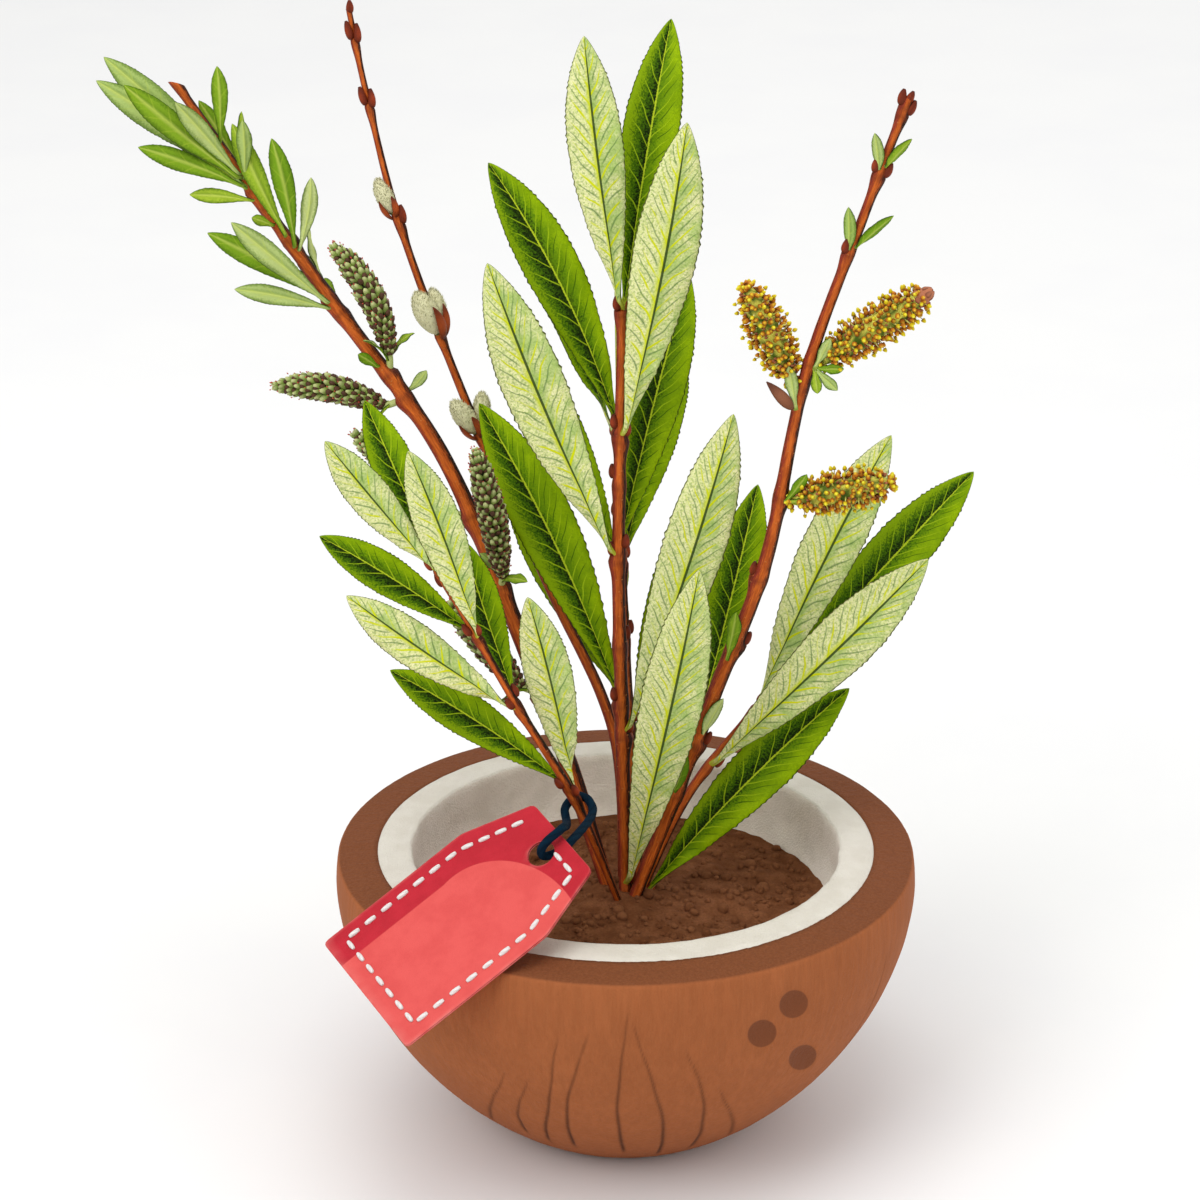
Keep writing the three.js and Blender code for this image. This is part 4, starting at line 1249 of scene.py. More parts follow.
def round_ends(u, fullness=0.45):
    return np.sin(np.pi * np.clip(u, 0, 1)) ** fullness


def rows_round(length, pitch, around, low=0.03, high=0.97):
    """Places in staggered rows round a catkin: the share along it and the angle."""
    rows = max(4, int((high - low) * length / pitch))
    share = low + (high - low) * np.arange(rows) / (rows - 1)
    stagger = 0.5 * (np.arange(rows) % 2)[:, None]
    angle = TAU * (np.arange(around)[None, :] + stagger) / around
    return np.repeat(share, around), angle.ravel()


def add_core(heap, catkin, radius, tone=0.3, fullness=0.45, chance=None):
    """The catkin's inner body. With a run of chance numbers it is knobbly and patchy."""
    u = 0.5 - 0.5 * np.cos(np.pi * np.linspace(0.04, 0.96, 26))
    around = 16
    radii = radius * round_ends(u, fullness)[:, None] * np.ones(around)
    tones = np.full(radii.shape, tone)
    if chance is not None:
        radii = radii * (0.9 + 0.2 * chance.random(radii.shape))
        tones = step(0.35, 0.65, chance.random(radii.shape))
    add_tube(heap, *catkin.body.spots(u), radii, around, up=np.repeat(u, around), tone=tones.ravel())


def add_stalk(heap, catkin, radius, tone=0.5):
    share = np.linspace(0, 1, 12)
    add_plump(heap, catkin.stalk.spots(share), np.linspace(radius * 1.15, radius, 12), share, tone)


def bracts_of(catkin):
    """Two small leaves at a catkin's foot, as rows on its stalk."""
    line = Line([catkin.stalk.point[0], catkin.stalk.point[-1]])
    return [(line, (4, catkin.turn + turn, 46, 10, 0, 60), YOUNG) for turn in (40, 220)]


def add_valve(heap, foot, ahead, out, length, width, tone, bulge=0.14):
    """A boat-shaped scale from its foot. It hugs what it wraps and its back is turned out. Its tone rises
    towards its two edges, which darkens them with painted shade.
    """
    rings, around = 12, 14
    ahead = unit(ahead)
    out = unit(out - ahead * np.dot(out, ahead))
    across = np.cross(ahead, out)
    u = np.linspace(0.02, 0.98, rings)
    lift = bulge * length * np.sin(np.pi * u) ** 0.8
    centres = foot + u[:, None] * length * ahead + lift[:, None] * out
    half = width / 2 * np.sin(np.pi * u ** 0.8) ** 0.75
    angle = steps_round(around)
    wide = np.cos(angle)[None, :] * half[:, None]
    thick = np.sin(angle)[None, :] * (0.16 + 0.12 * half[:, None]) - 0.25 * wide ** 2 / (width / 2)
    points = centres[:, None] + wide[..., None] * across + thick[..., None] * out
    # Painted shade: the tone rises along the scale's two edges.
    tones = np.tile(tone + (1 - tone) * np.abs(np.cos(angle)) ** 4, rings)
    first = heap.add_points(points, up=np.repeat(u, around), tone=tones)
    heap.add_faces(grid_faces(rings, around, first, wrap=True, flip=True))
    for row, flip in ((0, True), (rings - 1, False)):
        add_fan(heap, first + row * around, around, points[row], flip, up=u[row], tone=tone)


def build_seed_catkins():
    """Seed catkins: plump green capsules in close rows, brown scales between and red points on them."""
    cores = Heap(up="FLOAT", tone="FLOAT")
    stalks = Heap(up="FLOAT", tone="FLOAT")
    capsules, scales, points = Cloud(), Cloud(), Cloud()
    chance = chance_run("seed_catkins")
    leaves = []
    for row in SEED_CATKINS:
        catkin = Catkin(LINES["left"], row, SEED_STALK)
        add_core(cores, catkin, SEED_RADIUS - 1.0)
        add_stalk(stalks, catkin, 0.85)
        leaves += bracts_of(catkin)
        u, angle = rows_round(catkin.length, 1.8, 10)
        n = len(u)
        angle = angle + 0.3 * (chance.random(n) - 0.5)
        u = np.clip(u + 0.9 * (chance.random(n) - 0.5) / catkin.length, 0.02, 0.98)
        size = (0.5 + 0.5 * round_ends(u)) * (0.94 + 0.12 * chance.random(n))
        reach_out = (SEED_RADIUS + 0.15) * round_ends(u)
        base, out, ahead = catkin.ring(u, angle, np.maximum(reach_out - 1.5 * size, 0.1))
        lean = 1.25 + 0.4 * (chance.random(n) - 0.5) + 1.2 * step(0.85, 1.0, u) - 0.5 * step(0.15, 0, u)
        facing = unit(out + ahead * lean[:, None])
        capsules.add(base, facing, TAU * chance.random(n), size, chance.random(n) ** 1.5)
        low = np.clip(u - 0.75 / catkin.length, 0.01, 1)
        foot, low_out, low_ahead = catkin.ring(low, angle, np.maximum(reach_out - 0.95 * size, 0.2))
        scales.add(foot, low_out + 1.0 * low_ahead, TAU * chance.random(n), size, chance.random(n))
        keep = chance.random(n) < 0.5
        tips = base + facing * (3.05 * size)[:, None]
        m = keep.sum()
        points.add(tips[keep], facing[keep], TAU * chance.random(m), 1.0, chance.random(m))
    replaced = ["left_catkins"]
    show("seed_catkin_cores", cores, [SHADED_CORE], replaced)
    show("catkin_stalks", stalks, [STALK_GREEN], replaced)
    capsule = body_shape(3.3, 1.95, 1.75, 8, 6, 0.62)
    spread("seed_capsules", capsules, capsule, SEED_GREEN, replaced)
    spread("seed_scales", scales, body_shape(2.3, 1.7, 1.3, 6, 4, 0.8), SEED_SCALE, replaced)
    spread("seed_points", points, body_shape(0.7, 0.4, 0.4, 4, 3, 1.0), SEED_POINT, replaced)
    return leaves


def add_cap(heap, catkin, share):
    """Two rings of scales that still hold a catkin's tip shut."""
    for start, around, length in ((share - 0.05, 6, 4.2), (share + 0.02, 5, 3.0)):
        for k in range(around):
            angle = np.array([TAU * (k + 0.5 * (around == 5)) / around])
            foot, out, on = catkin.ring(np.array([start]), angle, 3.1 * round_ends(np.array([start])))
            add_valve(heap, foot[0], on[0] - 0.34 * out[0], out[0], length, 3.2, 0.1, 0.12)


# Pollen catkins: the share of each one's length past which its scales stay shut.
POLLEN_SHUT = [1.1, 0.92, 1.1]
# The small leaves at each one's foot: way across and up as seen from the front, and length.
POLLEN_LEAVES = [[(-0.15, 1, 11.5)], [(0.45, 0.9, 8.5), (0.1, -1, 6.5), (0.75, -0.8, 8), (1, -0.05, 7)],
                 [(0.55, 0.75, 9), (1, 0.05, 9)]]
# Three coats of anthers: share of the radius, number round, pitch along and how brown and dark they are,
# which is painted shade, deepest for the inner coat.
POLLEN_COATS = [(1.22, 10, 2.4, 0.1), (0.96, 12, 2.1, 0.15), (0.78, 11, 2.0, 0.5)]


def build_pollen_catkins():
    """Pollen catkins: a yellow-green core, fine filaments, yellow anthers outside and brown ones inside."""
    cores = Heap(up="FLOAT", tone="FLOAT")
    pods = Heap(up="FLOAT", tone="FLOAT")
    caps = Heap(up="FLOAT", tone="FLOAT")
    filaments, blush = Cloud(), Cloud()
    yellow, brown = Cloud(), Cloud()
    chance = chance_run("pollen_catkins")
    leaves = []
    core, root, scale_count = 3.2, 1.6, 110
    for row, ways, shut_from in zip(POLLEN_CATKINS, POLLEN_LEAVES, POLLEN_SHUT):
        catkin = Catkin(LINES["right"], row, POLLEN_STALK)
        add_core(cores, catkin, core, chance=chance)
        add_stalk(cores, catkin, 0.95, 1.0)
        foot = catkin.stalk.point[0] + np.array([-1.6, -1.9, -5.0] if len(ways) == 1 else [1.2, -2.2, -0.6])
        for across, up, length in ways:
            way = unit([across, -0.25, up])
            leaves.append((Line([foot - way, foot + 5 * way]), (1, 188, 10, length, 0, 14), YOUNG))
        u = np.linspace(0.06, 0.94, scale_count)
        spot, way, on = catkin.ring(u, TAU * chance.random(scale_count), (core - 0.1) * round_ends(u))
        blush.add(spot, way + 0.7 * on, 0, 1.15, 0.6 * chance.random(scale_count))
        for depth, around, pitch, shade in POLLEN_COATS:
            u, angle = rows_round(catkin.length, pitch, around, 0.02, 0.98)
            n = len(u)
            angle = angle + 0.3 * (chance.random(n) - 0.5)
            u = np.clip(u + 0.02 * (chance.random(n) - 0.5), 0.01, 0.99)
            swell = round_ends(u)
            stand = POLLEN_RADIUS * depth * (0.9 + 0.2 * chance.random(n)) * (0.12 + 0.88 * swell)
            base, out, ahead = catkin.ring(u, angle, root * swell)
            lean = 0.2 + 0.5 * (chance.random(n) - 0.5) + 0.5 * step(0.86, 1, u) - 0.7 * step(0.1, 0, u)
            facing = unit(out + ahead * lean[:, None])
            reach_out = stand - root * swell
            tips = base + facing * (reach_out - 0.5)[:, None]
            ready = u < shut_from
            m = int(ready.sum())
            filaments.add(base[ready], facing[ready], 0, reach_out[ready], chance.random(m))
            tilt = unit(facing + 0.3 * (chance.random((n, 3)) - 0.5))
            tone = np.clip(shade + 0.7 * (chance.random(m) - 0.5), 0, 1)
            coat = yellow if depth > 1 else brown
            coat.add(tips[ready], tilt[ready], TAU * chance.random(m), 0.88 if depth > 1 else 1.0, tone)
        if shut_from < 1:
            add_cap(caps, catkin, shut_from)
        if len(ways) == 1:
            ahead, out = np.array([-0.66, -0.1, 0.75]), np.array([0.3, -1.0, 0.1])
            add_valve(pods, foot + np.array([-0.6, 0, 0]), ahead, out, 10.5, 3.1, 0.1)
    replaced = ["right_catkins"]
    show("pollen_catkin_cores", cores, [CORE_GREEN], replaced)
    show("pollen_foot_scales", pods, [FOOT_SCALE], replaced)
    hair = hair_shape(1.0, 0.15)
    spread("pollen_filaments", filaments, hair, FILAMENT, replaced, size_spread=0.0)
    anther = body_shape(1.45, 1.28, 1.2, 7, 5, 0.5)
    spread("pollen_yellow_anthers", yellow, anther, ANTHER_YELLOW, replaced)
    spread("pollen_brown_anthers", brown, anther, ANTHER_BROWN, replaced)
    show("pollen_closed_tip", caps, [CLOSED_SCALE], replaced)
    spread("pollen_scales", blush, body_shape(1.2, 0.7, 0.5, 6, 4, 0.8), CLOSED_SCALE, replaced)
    return leaves


def build_silver_catkins():
    """Young catkins in silver fur, each with one or two boat-shaped scales."""
    cores = Heap(up="FLOAT", tone="FLOAT")
    scales = Heap(up="FLOAT", tone="FLOAT")
    fur = Cloud()
    chance = chance_run("silver_catkins")
    hairs = 1000
    for row, scale_count in zip(SILVER_CATKINS, SILVER_SCALES):
        catkin = Catkin(LINES["slim"], row, SILVER_STALK)
        radius = SILVER_SHARE * catkin.length
        add_core(cores, catkin, radius, 0.8, 0.5)
        add_stalk(cores, catkin, 0.8, 0.0)
        u = chance.random(hairs)
        base, out, ahead = catkin.ring(u, TAU * chance.random(hairs), radius * 0.96 * round_ends(u, 0.5))
        facing = out * (0.5 - 0.45 * step(0.6, 1, u))[:, None] + ahead
        facing = facing + 0.4 * (chance.random((hairs, 3)) - 0.5)
        fur.add(base, facing, 0, 0.5 + 0.35 * chance.random(hairs), chance.random(hairs) ** 0.4)
        ahead = catkin.body.ahead[0]
        sideways = unit(np.cross(ahead, np.array([0, 1.0, 0])))
        size = catkin.length / 11
        for sign in (-1, 1)[:scale_count]:
            out = unit(0.75 * sign * sideways + np.array([0, -0.65, 0]))
            foot = catkin.body.point[0] + (0.85 * out - 1.8 * ahead) * size
            length = (9.2 if scale_count == 1 else 7.4) * size
            tone = 0.4 * chance.random()
            add_valve(scales, foot, ahead + 0.22 * out, out, length, 2.8 * size, tone)
    replaced = ["slim_catkins"]
    show("silver_catkin_cores", cores, [FUR], replaced)
    show("silver_catkin_scales", scales, [SHELL_SCALE], replaced)
    spread("silver_fur", fur, hair_shape(1.0, 0.19, 0.12), FUR, replaced)


# Bowl and soil

def bowl_side(radius, lowest, steps, depth=None, highest=BOWL["widest"]):
    """Half of an oval from its lowest height up to its widest place, or up to a lower one."""
    depth = depth or BOWL["widest"] - lowest
    heights = np.linspace(lowest, highest, steps)
    level = np.clip(1 - (np.clip(BOWL["widest"] - heights, 0, None) / depth) ** BOWL["roundness"], 0, 1)
    return radius * level ** (1 / BOWL["roundness"]), heights


def lathe(heap, radii, heights, around, shift, **values):
    """A body turned round the upright axis, with a shift out and a shift up for each of its points."""
    rows = len(radii)
    r = np.asarray(radii, float)[:, None] * np.ones(around) + shift[0]
    z = np.asarray(heights, float)[:, None] * np.ones(around) + shift[1]
    points = turned(r, steps_round(around), z)
    first = heap.add_points(points, **values)
    heap.add_faces(grid_faces(rows, around, first, wrap=True))
    add_fan(heap, first, around, points[0])
    add_fan(heap, first + (rows - 1) * around, around, points[-1], True)


def husk_cracks(bearing, height):
    """How deep in a crack each place of the shell's side is, from 0 to 1."""
    deep = np.zeros_like(bearing)
    chance = chance_run("cracks")
    rows = list(CRACKS)
    for middle in np.arange(62, 300, 12.5):
        lean = chance.uniform(-9, 9)
        top, foot, bow = chance.uniform(44, 68), chance.uniform(8, 18), chance.uniform(-2, 2)
        rows.append((middle, top, middle + lean, foot, bow))
    for top_bearing, top, foot_bearing, foot, bow in rows:
        share = np.clip((top - height) / (top - foot), 0, 1)
        wobble = 0.16 * np.sin(share * 9 + top) + 0.08 * np.sin(share * 21 + foot)
        line = top_bearing + (foot_bearing - top_bearing) * share + bow * np.sin(np.pi * share) + wobble
        gap = (bearing - line + 180) % 360 - 180
        radius = 40 + 34 * np.clip(height / 60, 0, 1) ** 0.5
        width = 0.26 + 0.34 * share
        inside = (0.35 + 0.65 * share) * step(top + 1, top - 3, height) * step(foot - 3, foot + 2, height)
        deep = np.maximum(deep, inside * np.exp(-(np.radians(gap) * radius / width) ** 2))
    return deep


def build_husk():
    """The coconut's husk: fibrous side with cracks, three eyes and a sawn rim."""
    heap = Heap(wear="FLOAT_VECTOR")
    around = 1080
    base_r, base_z = bowl_side(BOWL["radius"], 0, 52, BOWL["depth"])
    side_r = np.concatenate([[0.5], base_r, [75.35, 75.1, 74.9, 74.4]])
    side_z = np.concatenate([[0], base_z, [71, 73.4, 74.4, 74.85]])
    top_r = np.array([72, 70, 68, 66, 64.6])
    top_z = 74.7 + (75 - top_r) / 10.5 * 1.2
    in_r, in_z = bowl_side(BOWL["flesh_radius"], BOWL["husk_bottom"], 10)
    radii = np.concatenate([side_r, top_r, in_r[::-1][:-1], [20, 1]])
    heights = np.concatenate([side_z, top_z, in_z[::-1][:-1], [BOWL["husk_bottom"]] * 2])
    bearing = 360 * np.arange(around)[None, :] / around * np.ones((len(radii), 1))
    z = heights[:, None] * np.ones(around)
    r = radii[:, None] * np.ones(around)
    row = np.arange(len(radii))[:, None]
    outside = (row < len(side_r)) & (row > 0) & (z > 0.01)
    spot = turned(r, np.radians(bearing), z)
    fibre = lumps(spot * (1, 1, 0.08), 1.6) * 0.6 + lumps(spot * (1, 1, 0.15), 4.5)
    crack = husk_cracks(bearing, z) * outside
    dent = np.zeros_like(z)
    for eye_x, eye_up in eye_middles():
        rise = spot[..., 1] * EYE_UP[0] + z * EYE_UP[1] - eye_up
        gap = np.hypot(spot[..., 0] - eye_x, rise) / EYES["radius"]
        dent = np.maximum(dent, EYES["depth"] * np.clip(1 - gap ** 2, 0, 1) ** 0.8 * (spot[..., 1] < 0))
    fade = step(0.5, 4, z)
    shift_r = np.where(outside, 0.07 * fibre * fade - 0.4 * crack - dent * outside, 0)
    rim = (row >= len(side_r)) & (row < len(side_r) + len(top_r))
    shift_z = np.where(rim, 0.12 * lumps(spot, 2.2) + 0.1 * lumps(spot, 0.9), 0)
    cut = (row >= len(side_r) - 1) * np.ones(around)
    lathe(heap, radii, heights, around, (shift_r, shift_z), wear=triple(cut, crack))
    show("shell_husk", heap, [HUSK], ["pot_husk"])


def build_flesh():
    """The ring of white flesh inside the husk."""
    heap = Heap(wear="FLOAT_VECTOR")
    around = 300
    outer = BOWL["flesh_radius"] + 0.16
    out_r, out_z = bowl_side(outer, BOWL["husk_bottom"] + SEAT, 12)
    in_r, in_z = bowl_side(BOWL["mouth_radius"], BOWL["flesh_bottom"], 30)
    top_r = np.array([outer, 64.4, 62, 60, 58, 56.6, 55.9, 55.6])
    top_z = np.array([75.7, 75.92, 76.1, 76.2, 76.3, 76.34, 76.2, 75.7])
    radii = np.concatenate([out_r, top_r, [55.5, 55.5], in_r[::-1], [1]])
    heights = np.concatenate([out_z, top_z, [74, 71], in_z[::-1], [BOWL["flesh_bottom"]]])
    row = np.arange(len(radii))[:, None]
    spot = turned(radii[:, None], steps_round(around), heights[:, None])
    first, last = len(out_r), len(out_r) + len(top_r)
    cut = ((row >= first) & (row < last - 1)) * np.ones(around)
    inner = row >= last - 2
    shift_r = np.where(inner, 0.22 * lumps(spot, 5) + 0.12 * lumps(spot, 2), 0)
    shift_z = np.where(cut > 0, 0.08 * lumps(spot, 3), 0)
    edge = (row == first) * np.ones(around)
    lathe(heap, radii, heights, around, (shift_r, shift_z), wear=triple(cut, edge))
    show("shell_flesh", heap, [FLESH], ["pot_flesh"])


def soil_height(x, y):
    """Height of the soil's surface: a low middle mound, banked up round the stems' feet."""
    r = np.hypot(x, y)
    height = SOIL["edge"] + (SOIL["middle"] - SOIL["edge"]) * step(56, 10, r)
    height = height + 3.6 * np.exp(-((x - 0.5) ** 2 + (y - 0.5) ** 2) / 95)
    spot = triple(x, y)
    rough = 0.9 * lumps(spot, 9) + 0.75 * lumps(spot + 40, 4.2) + 0.42 * lumps(spot + 90, 1.9)
    return height + rough * (0.5 + 0.5 * step(56, 44, r))


def build_soil():
    """The soil: a lumpy bed and loose clods on it."""
    heap = Heap(tone="FLOAT")
    wall = BOWL["mouth_radius"]
    around = 260
    rings = np.linspace(wall - 0.9, 0.6, 88)
    angle = steps_round(around)
    r = rings[:, None] * np.ones(around)
    top = soil_height(r * np.sin(angle), -r * np.cos(angle))
    low_r, low_z = bowl_side(wall - SEAT, BOWL["flesh_bottom"] + SEAT, 14, highest=56)
    radii = np.concatenate([low_r, rings])
    heights = np.concatenate([low_z, np.zeros(len(rings))])
    shift_z = np.vstack([np.zeros((len(low_r), around)), top])
    lathe(heap, radii, heights, around, (np.zeros_like(shift_z), shift_z), tone=0.0)
    show("soil_bed", heap, [SOIL_FINISH], ["soil", "root_crown"])
    chance = chance_run("soil")
    clods = Cloud()
    count = 1500
    r = (wall - 3.5) * np.sqrt(chance.random(count))
    angle = TAU * chance.random(count)
    x, y = r * np.sin(angle), -r * np.cos(angle)
    size = 0.35 + 1.5 * chance.random(count) ** 3.5
    spots = triple(x, y, soil_height(x, y) - 0.35 * size)
    facing = triple(chance.normal(0, 0.5, count), chance.normal(0, 0.5, count), 1.0)
    clods.add(spots, facing, TAU * chance.random(count), size, chance.random(count) ** 1.5)
    u = np.array([0.06, 0.3, 0.6, 0.9])
    wobble = 1 + 0.28 * lumps(np.arange(28).reshape(4, 7, 1) * np.array([1.7, 2.3, 3.1]), 1.3)
    radii = np.sqrt(np.sin(np.pi * u))[:, None] * wobble
    grain = upright(u, 1.5 * u - 0.3, 1.0, 0.8, radii, 7)
    spread("soil_clods", clods, grain, SOIL_FINISH, ["soil"], size_spread=0.2)


# Label and its cord

def label_frame():
    """The label's own directions, its centre and its hole."""
    b, s, t = np.radians([LABEL["bearing"], LABEL["slope"], LABEL["turn"]])
    down = np.array([-np.sin(b) * np.cos(s), -np.cos(b) * np.cos(s), -np.sin(s)])
    level = np.array([np.cos(b), -np.sin(b), 0])
    face = np.array([-np.sin(b) * np.sin(s), -np.cos(b) * np.sin(s), np.cos(s)])
    along = down * np.cos(t) - level * np.sin(t)
    across = np.cross(face, along)
    rim = np.array([-np.sin(b) * BOWL["rim_radius"], -np.cos(b) * BOWL["rim_radius"], BOWL["rim_height"]])
    centre = rim + face * (LABEL["thickness"] / 2 + SEAT) - down * LABEL["up_slope"]
    hole = centre + along * (LABEL["hole_inset"] - LABEL["length"] / 2)
    return along, across, face, centre, hole


def rounded(corners, radius):
    """A closed outline through corners that are rounded off."""
    points = []
    corners = [np.array(c, float) for c in corners]
    for before, corner, after in zip(corners[-1:] + corners[:-1], corners, corners[1:] + corners[:1]):
        start = corner + unit(before - corner) * radius
        end = corner + unit(after - corner) * radius
        for t in np.linspace(0, 1, 6):
            points.append((1 - t) ** 2 * start + 2 * t * (1 - t) * corner + t ** 2 * end)
    return np.array(points)


def even_steps(outline, count):
    """The same closed outline in even steps."""
    loop = np.vstack([outline, outline[:1]])
    gaps = np.append(0, np.cumsum(np.linalg.norm(np.diff(loop, axis=0), axis=1)))
    at = np.linspace(0, gaps[-1], count, endpoint=False)
    return between(at, gaps, loop)


def build_label():
    """The blank tag with softened edges, its stitched border and its cord."""
    along, across, face, centre, hole = label_frame()
    end, half = LABEL["length"] / 2, LABEL["width"] / 2
    end_half, shoulder = LABEL["end_width"] / 2, LABEL["shoulder"] - LABEL["length"] / 2
    outline = rounded([(end, -half), (end, half), (shoulder, half), (-end, end_half),
                       (-end, -end_half), (shoulder, -half)], 1.4)
    count = 240
    outer = even_steps(outline, count)
    middle = np.array([LABEL["hole_inset"] - end, 0])
    way = np.arctan2(outer[:, 1] - middle[1], outer[:, 0] - middle[0])
    inner = middle + LABEL["hole"] * np.stack([np.cos(way), np.sin(way)], axis=-1)
    shares = np.concatenate([[0, 0.012], np.linspace(0.04, 0.95, 18), [0.985, 0.996, 1.0]])
    heap = Heap(card="FLOAT_VECTOR")
    flat = inner[None] + (outer - inner)[None] * shares[:, None, None]
    soften = np.interp(shares, [0, 0.012, 0.04, 0.985, 0.996, 1.0], [0.14, 0.03, 0, 0, 0.04, 0.18])
    worn = np.interp(shares, [0, 0.02, 0.97, 1.0], [0.8, 0, 0, 0.9])
    starts = []
    for sign in (1, -1):
        height = sign * (LABEL["thickness"] / 2 - soften)
        spot = triple(flat[..., 0], flat[..., 1])
        sag = 0.12 * lumps(spot, 16)
        points = (centre + flat[..., :1] * along + flat[..., 1:] * across
                  + (height[:, None] + sag)[..., None] * face)
        wear = worn[:, None] * (0.5 + 0.5 * lumps(spot, 1.5))
        starts.append(heap.add_points(points, card=triple(flat[..., 0], flat[..., 1], wear)))
        heap.add_faces(grid_faces(len(shares), count, starts[-1], wrap=True, flip=sign > 0))
    ends = np.arange(count)
    after = (ends + 1) % count
    for row, flip in ((0, True), ((len(shares) - 1) * count, False)):
        a, b = starts[0] + row, starts[1] + row
        faces = np.stack([a + ends, a + after, b + after, b + ends], axis=-1)
        heap.add_faces(faces[:, ::-1] if flip else faces)
    show("label_card", heap, [CARD], ["label"])
    build_stitches(along, across, face, centre)
    build_cord(along, across, face, hole)


def build_stitches(along, across, face, centre):
    """White running stitches round the label, left out beside its hole."""
    corners = [(-27.3, -9.3), (-27.3, -11.5), (-9.7, -17.5), (26.4, -17.5), (26.4, 17.5), (-9.7, 17.5),
               (-27.3, 11.5), (-27.3, 2.1)]
    corners = [np.array(c, float) for c in corners]
    cloud = Cloud()
    pitch = 5.1
    for start, stop in zip(corners[:-1], corners[1:]):
        length = np.linalg.norm(stop - start)
        count = max(1, round(length / pitch))
        if length < pitch / 2:
            continue
        for k in range(count):
            spot = start + (stop - start) * (k + 0.5) / count
            way = unit(stop - start)
            foot = spot - way * 1.65
            place = centre + foot[0] * along + foot[1] * across + face * (LABEL["thickness"] / 2 + 0.16)
            cloud.add(place, way[0] * along + way[1] * across + 0.001 * face, 0.0, 1.0, 0.5)
    u = np.array([0.02, 0.12, 0.35, 0.65, 0.88, 0.98])
    around = 10
    angle = steps_round(around)
    strand = np.abs(np.cos(1.5 * angle[None, :] - 5 * u[:, None]))
    stitch = upright(u, 3.3 * u, 1.0, 1.0, 0.62 * np.sin(np.pi * u) ** 0.2, around, lay=triple(strand))
    spread("label_stitches", cloud, stitch, STITCH, ["label"], size_spread=0.04)


def build_cord(along, across, face, hole):
    """The twisted loop that ties the label to the left shoot."""
    line = LINES["left_shoot"]
    shoot = line.at(TIE["shoot_place"])
    _, front, right = line.frame(TIE["shoot_place"])
    ring = STEMS["left_shoot"]["foot"] + TIE["radius"] + SEAT
    over = LABEL["thickness"] / 2 + TIE["radius"] + SEAT
    edge = -LABEL["hole_inset"] - TIE["radius"]

    def on_hole(x, y, z):
        return hole + along * x + across * y + face * z

    def on_shoot(f, r):
        return shoot + front * f + right * r

    route = Line([hole, on_hole(-2, 0, over + 0.6), on_hole(edge, -0.6, over + 0.4),
                  on_shoot(ring + 3, -ring - 0.4), on_shoot(0, -ring - 0.2), on_shoot(-ring - 0.2, 0),
                  on_shoot(0, ring + 0.2), on_shoot(ring + 3, ring + 0.4), on_hole(edge, 0.6, -over - 0.4),
                  on_hole(-2, 0, -over - 0.6)], closed=True)
    count, around = 420, 24
    share = np.arange(count) / count
    centres = route.at(share * route.length)
    ahead = unit(np.roll(centres, -1, axis=0) - np.roll(centres, 1, axis=0))
    sides = [unit(np.cross(ahead[0], [0.3, 0.2, 1.0]))]
    for k in range(1, count + 1):
        sides.append(unit(sides[-1] - ahead[k % count] * np.dot(sides[-1], ahead[k % count])))
    slip = np.arctan2(np.dot(sides[-1], np.cross(ahead[0], sides[0])), np.dot(sides[-1], sides[0]))
    sides = np.array(sides[:count])
    turn = -slip * share[:, None]
    a = sides * np.cos(turn) + np.cross(ahead, sides) * np.sin(turn)
    b = np.cross(ahead, a)
    angle = steps_round(around)
    lay_turns = round(route.length / 5.2)
    strand = np.abs(np.cos(1.5 * angle[None, :] - np.pi * lay_turns * share[:, None]))
    radii = TIE["radius"] * (0.92 + 0.11 * strand ** 0.6)
    heap = Heap(lay="FLOAT_VECTOR")
    points = centres[:, None] + rings_round(a, b, angle) * radii[..., None]
    heap.add_points(points, lay=triple(strand ** 0.7))
    heap.add_faces(grid_faces(count + 1, around, 0, wrap=True) % (count * around))
    show("label_cord", heap, [CORD], ["label_tie"])


# Everything together

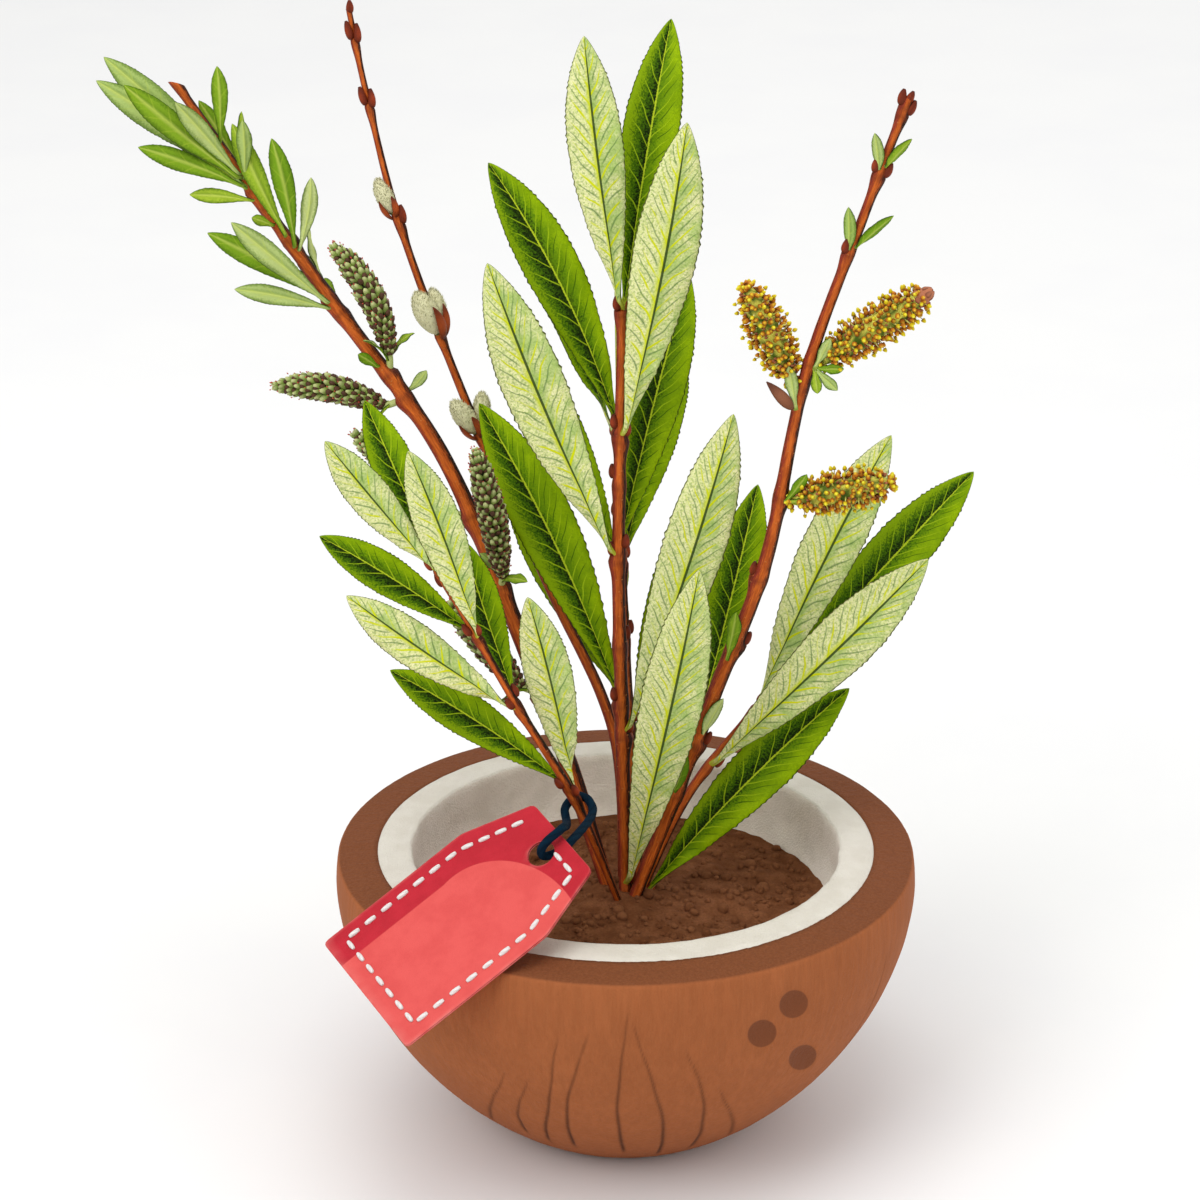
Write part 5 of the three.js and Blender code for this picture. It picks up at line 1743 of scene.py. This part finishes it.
def build_plant():
    build_bark()
    build_buds()
    bracts = build_seed_catkins() + build_pollen_catkins()
    build_silver_catkins()
    grown = [LEAF_UPPER, LEAF_UNDER]
    for name in ("middle", "right_shoot", "left_shoot", "back_shoot"):
        rows = [(LINES[name], row, age_of(row[3])) for row in LEAVES[name]]
        show_leaves(name + "_leaves", rows, [name + "_foliage"], grown)
    right = [(LINES["right"], row, age_of(row[3])) for row in LEAVES["right"]]
    show_leaves("right_stem_leaf", right[:1], ["right_catkins"], grown)
    left = [(LINES["left"], row, YOUNG) for row in LEAVES["left"]]
    young = left + TWIG_LEAVES + bracts + right[1:]
    show_leaves("young_leaves", young, ["left_catkins", "right_catkins"], [YOUNG_UPPER, YOUNG_UNDER], True)


def build_stage():
    """A plain pale floor, soft light from the upper left and the photograph's camera."""
    bpy.ops.mesh.primitive_circle_add(vertices=96, radius=7, fill_type="NGON")
    floor = bpy.context.object
    floor.name = "pale_floor"
    finish = Finish("pale_floor", 0.9, 0.1)
    patches = mottle(finish.place(), 0.01, 0.4)[0]
    floor.data.materials.append(finish.paint(mix(patches, (252, 252, 251), (250, 250, 250))))
    world = bpy.data.worlds.new("studio")
    bpy.context.scene.world = world
    world.use_nodes = True
    backdrop = next(n for n in world.node_tree.nodes if n.type == "BACKGROUND")
    backdrop.inputs[0].default_value = (1.0, 1.0, 1.0, 1.0)
    backdrop.inputs[1].default_value = 0.72
    lamps = [("key_light", (-0.9, -1.0, 1.35), 1.1, 12.0), ("fill_light", (1.2, -0.7, 0.8), 1.2, 4.0),
             ("back_light", (0.3, 1.3, 1.2), 1.2, 4.0), ("top_light", (-0.1, -0.25, 1.5), 0.9, 6.5)]
    for name, spot, size, power in lamps:
        data = bpy.data.lights.new(name, "AREA")
        data.size = size
        data.energy = power
        lamp = bpy.data.objects.new(name, data)
        bpy.context.scene.collection.objects.link(lamp)
        lamp.location = spot
        aim = np.array([0, 0, 0.12]) - np.array(spot)
        lamp.rotation_euler = (np.arctan2(np.hypot(aim[0], aim[1]), -aim[2]), 0,
                               np.arctan2(aim[1], aim[0]) - np.pi / 2)
    data = bpy.data.cameras.new("camera")
    data.lens = 129.7
    data.sensor_width = 36
    camera = bpy.data.objects.new("camera", data)
    bpy.context.scene.collection.objects.link(camera)
    camera.location = (-0.0067, -1.0118, 0.5771)
    camera.rotation_euler = (np.radians(66.9), 0, 0)
    bpy.context.scene.camera = camera
    bpy.context.scene.view_settings.view_transform = "Standard"


build_stage()
build_husk()
build_flesh()
build_soil()
build_plant()
build_label()
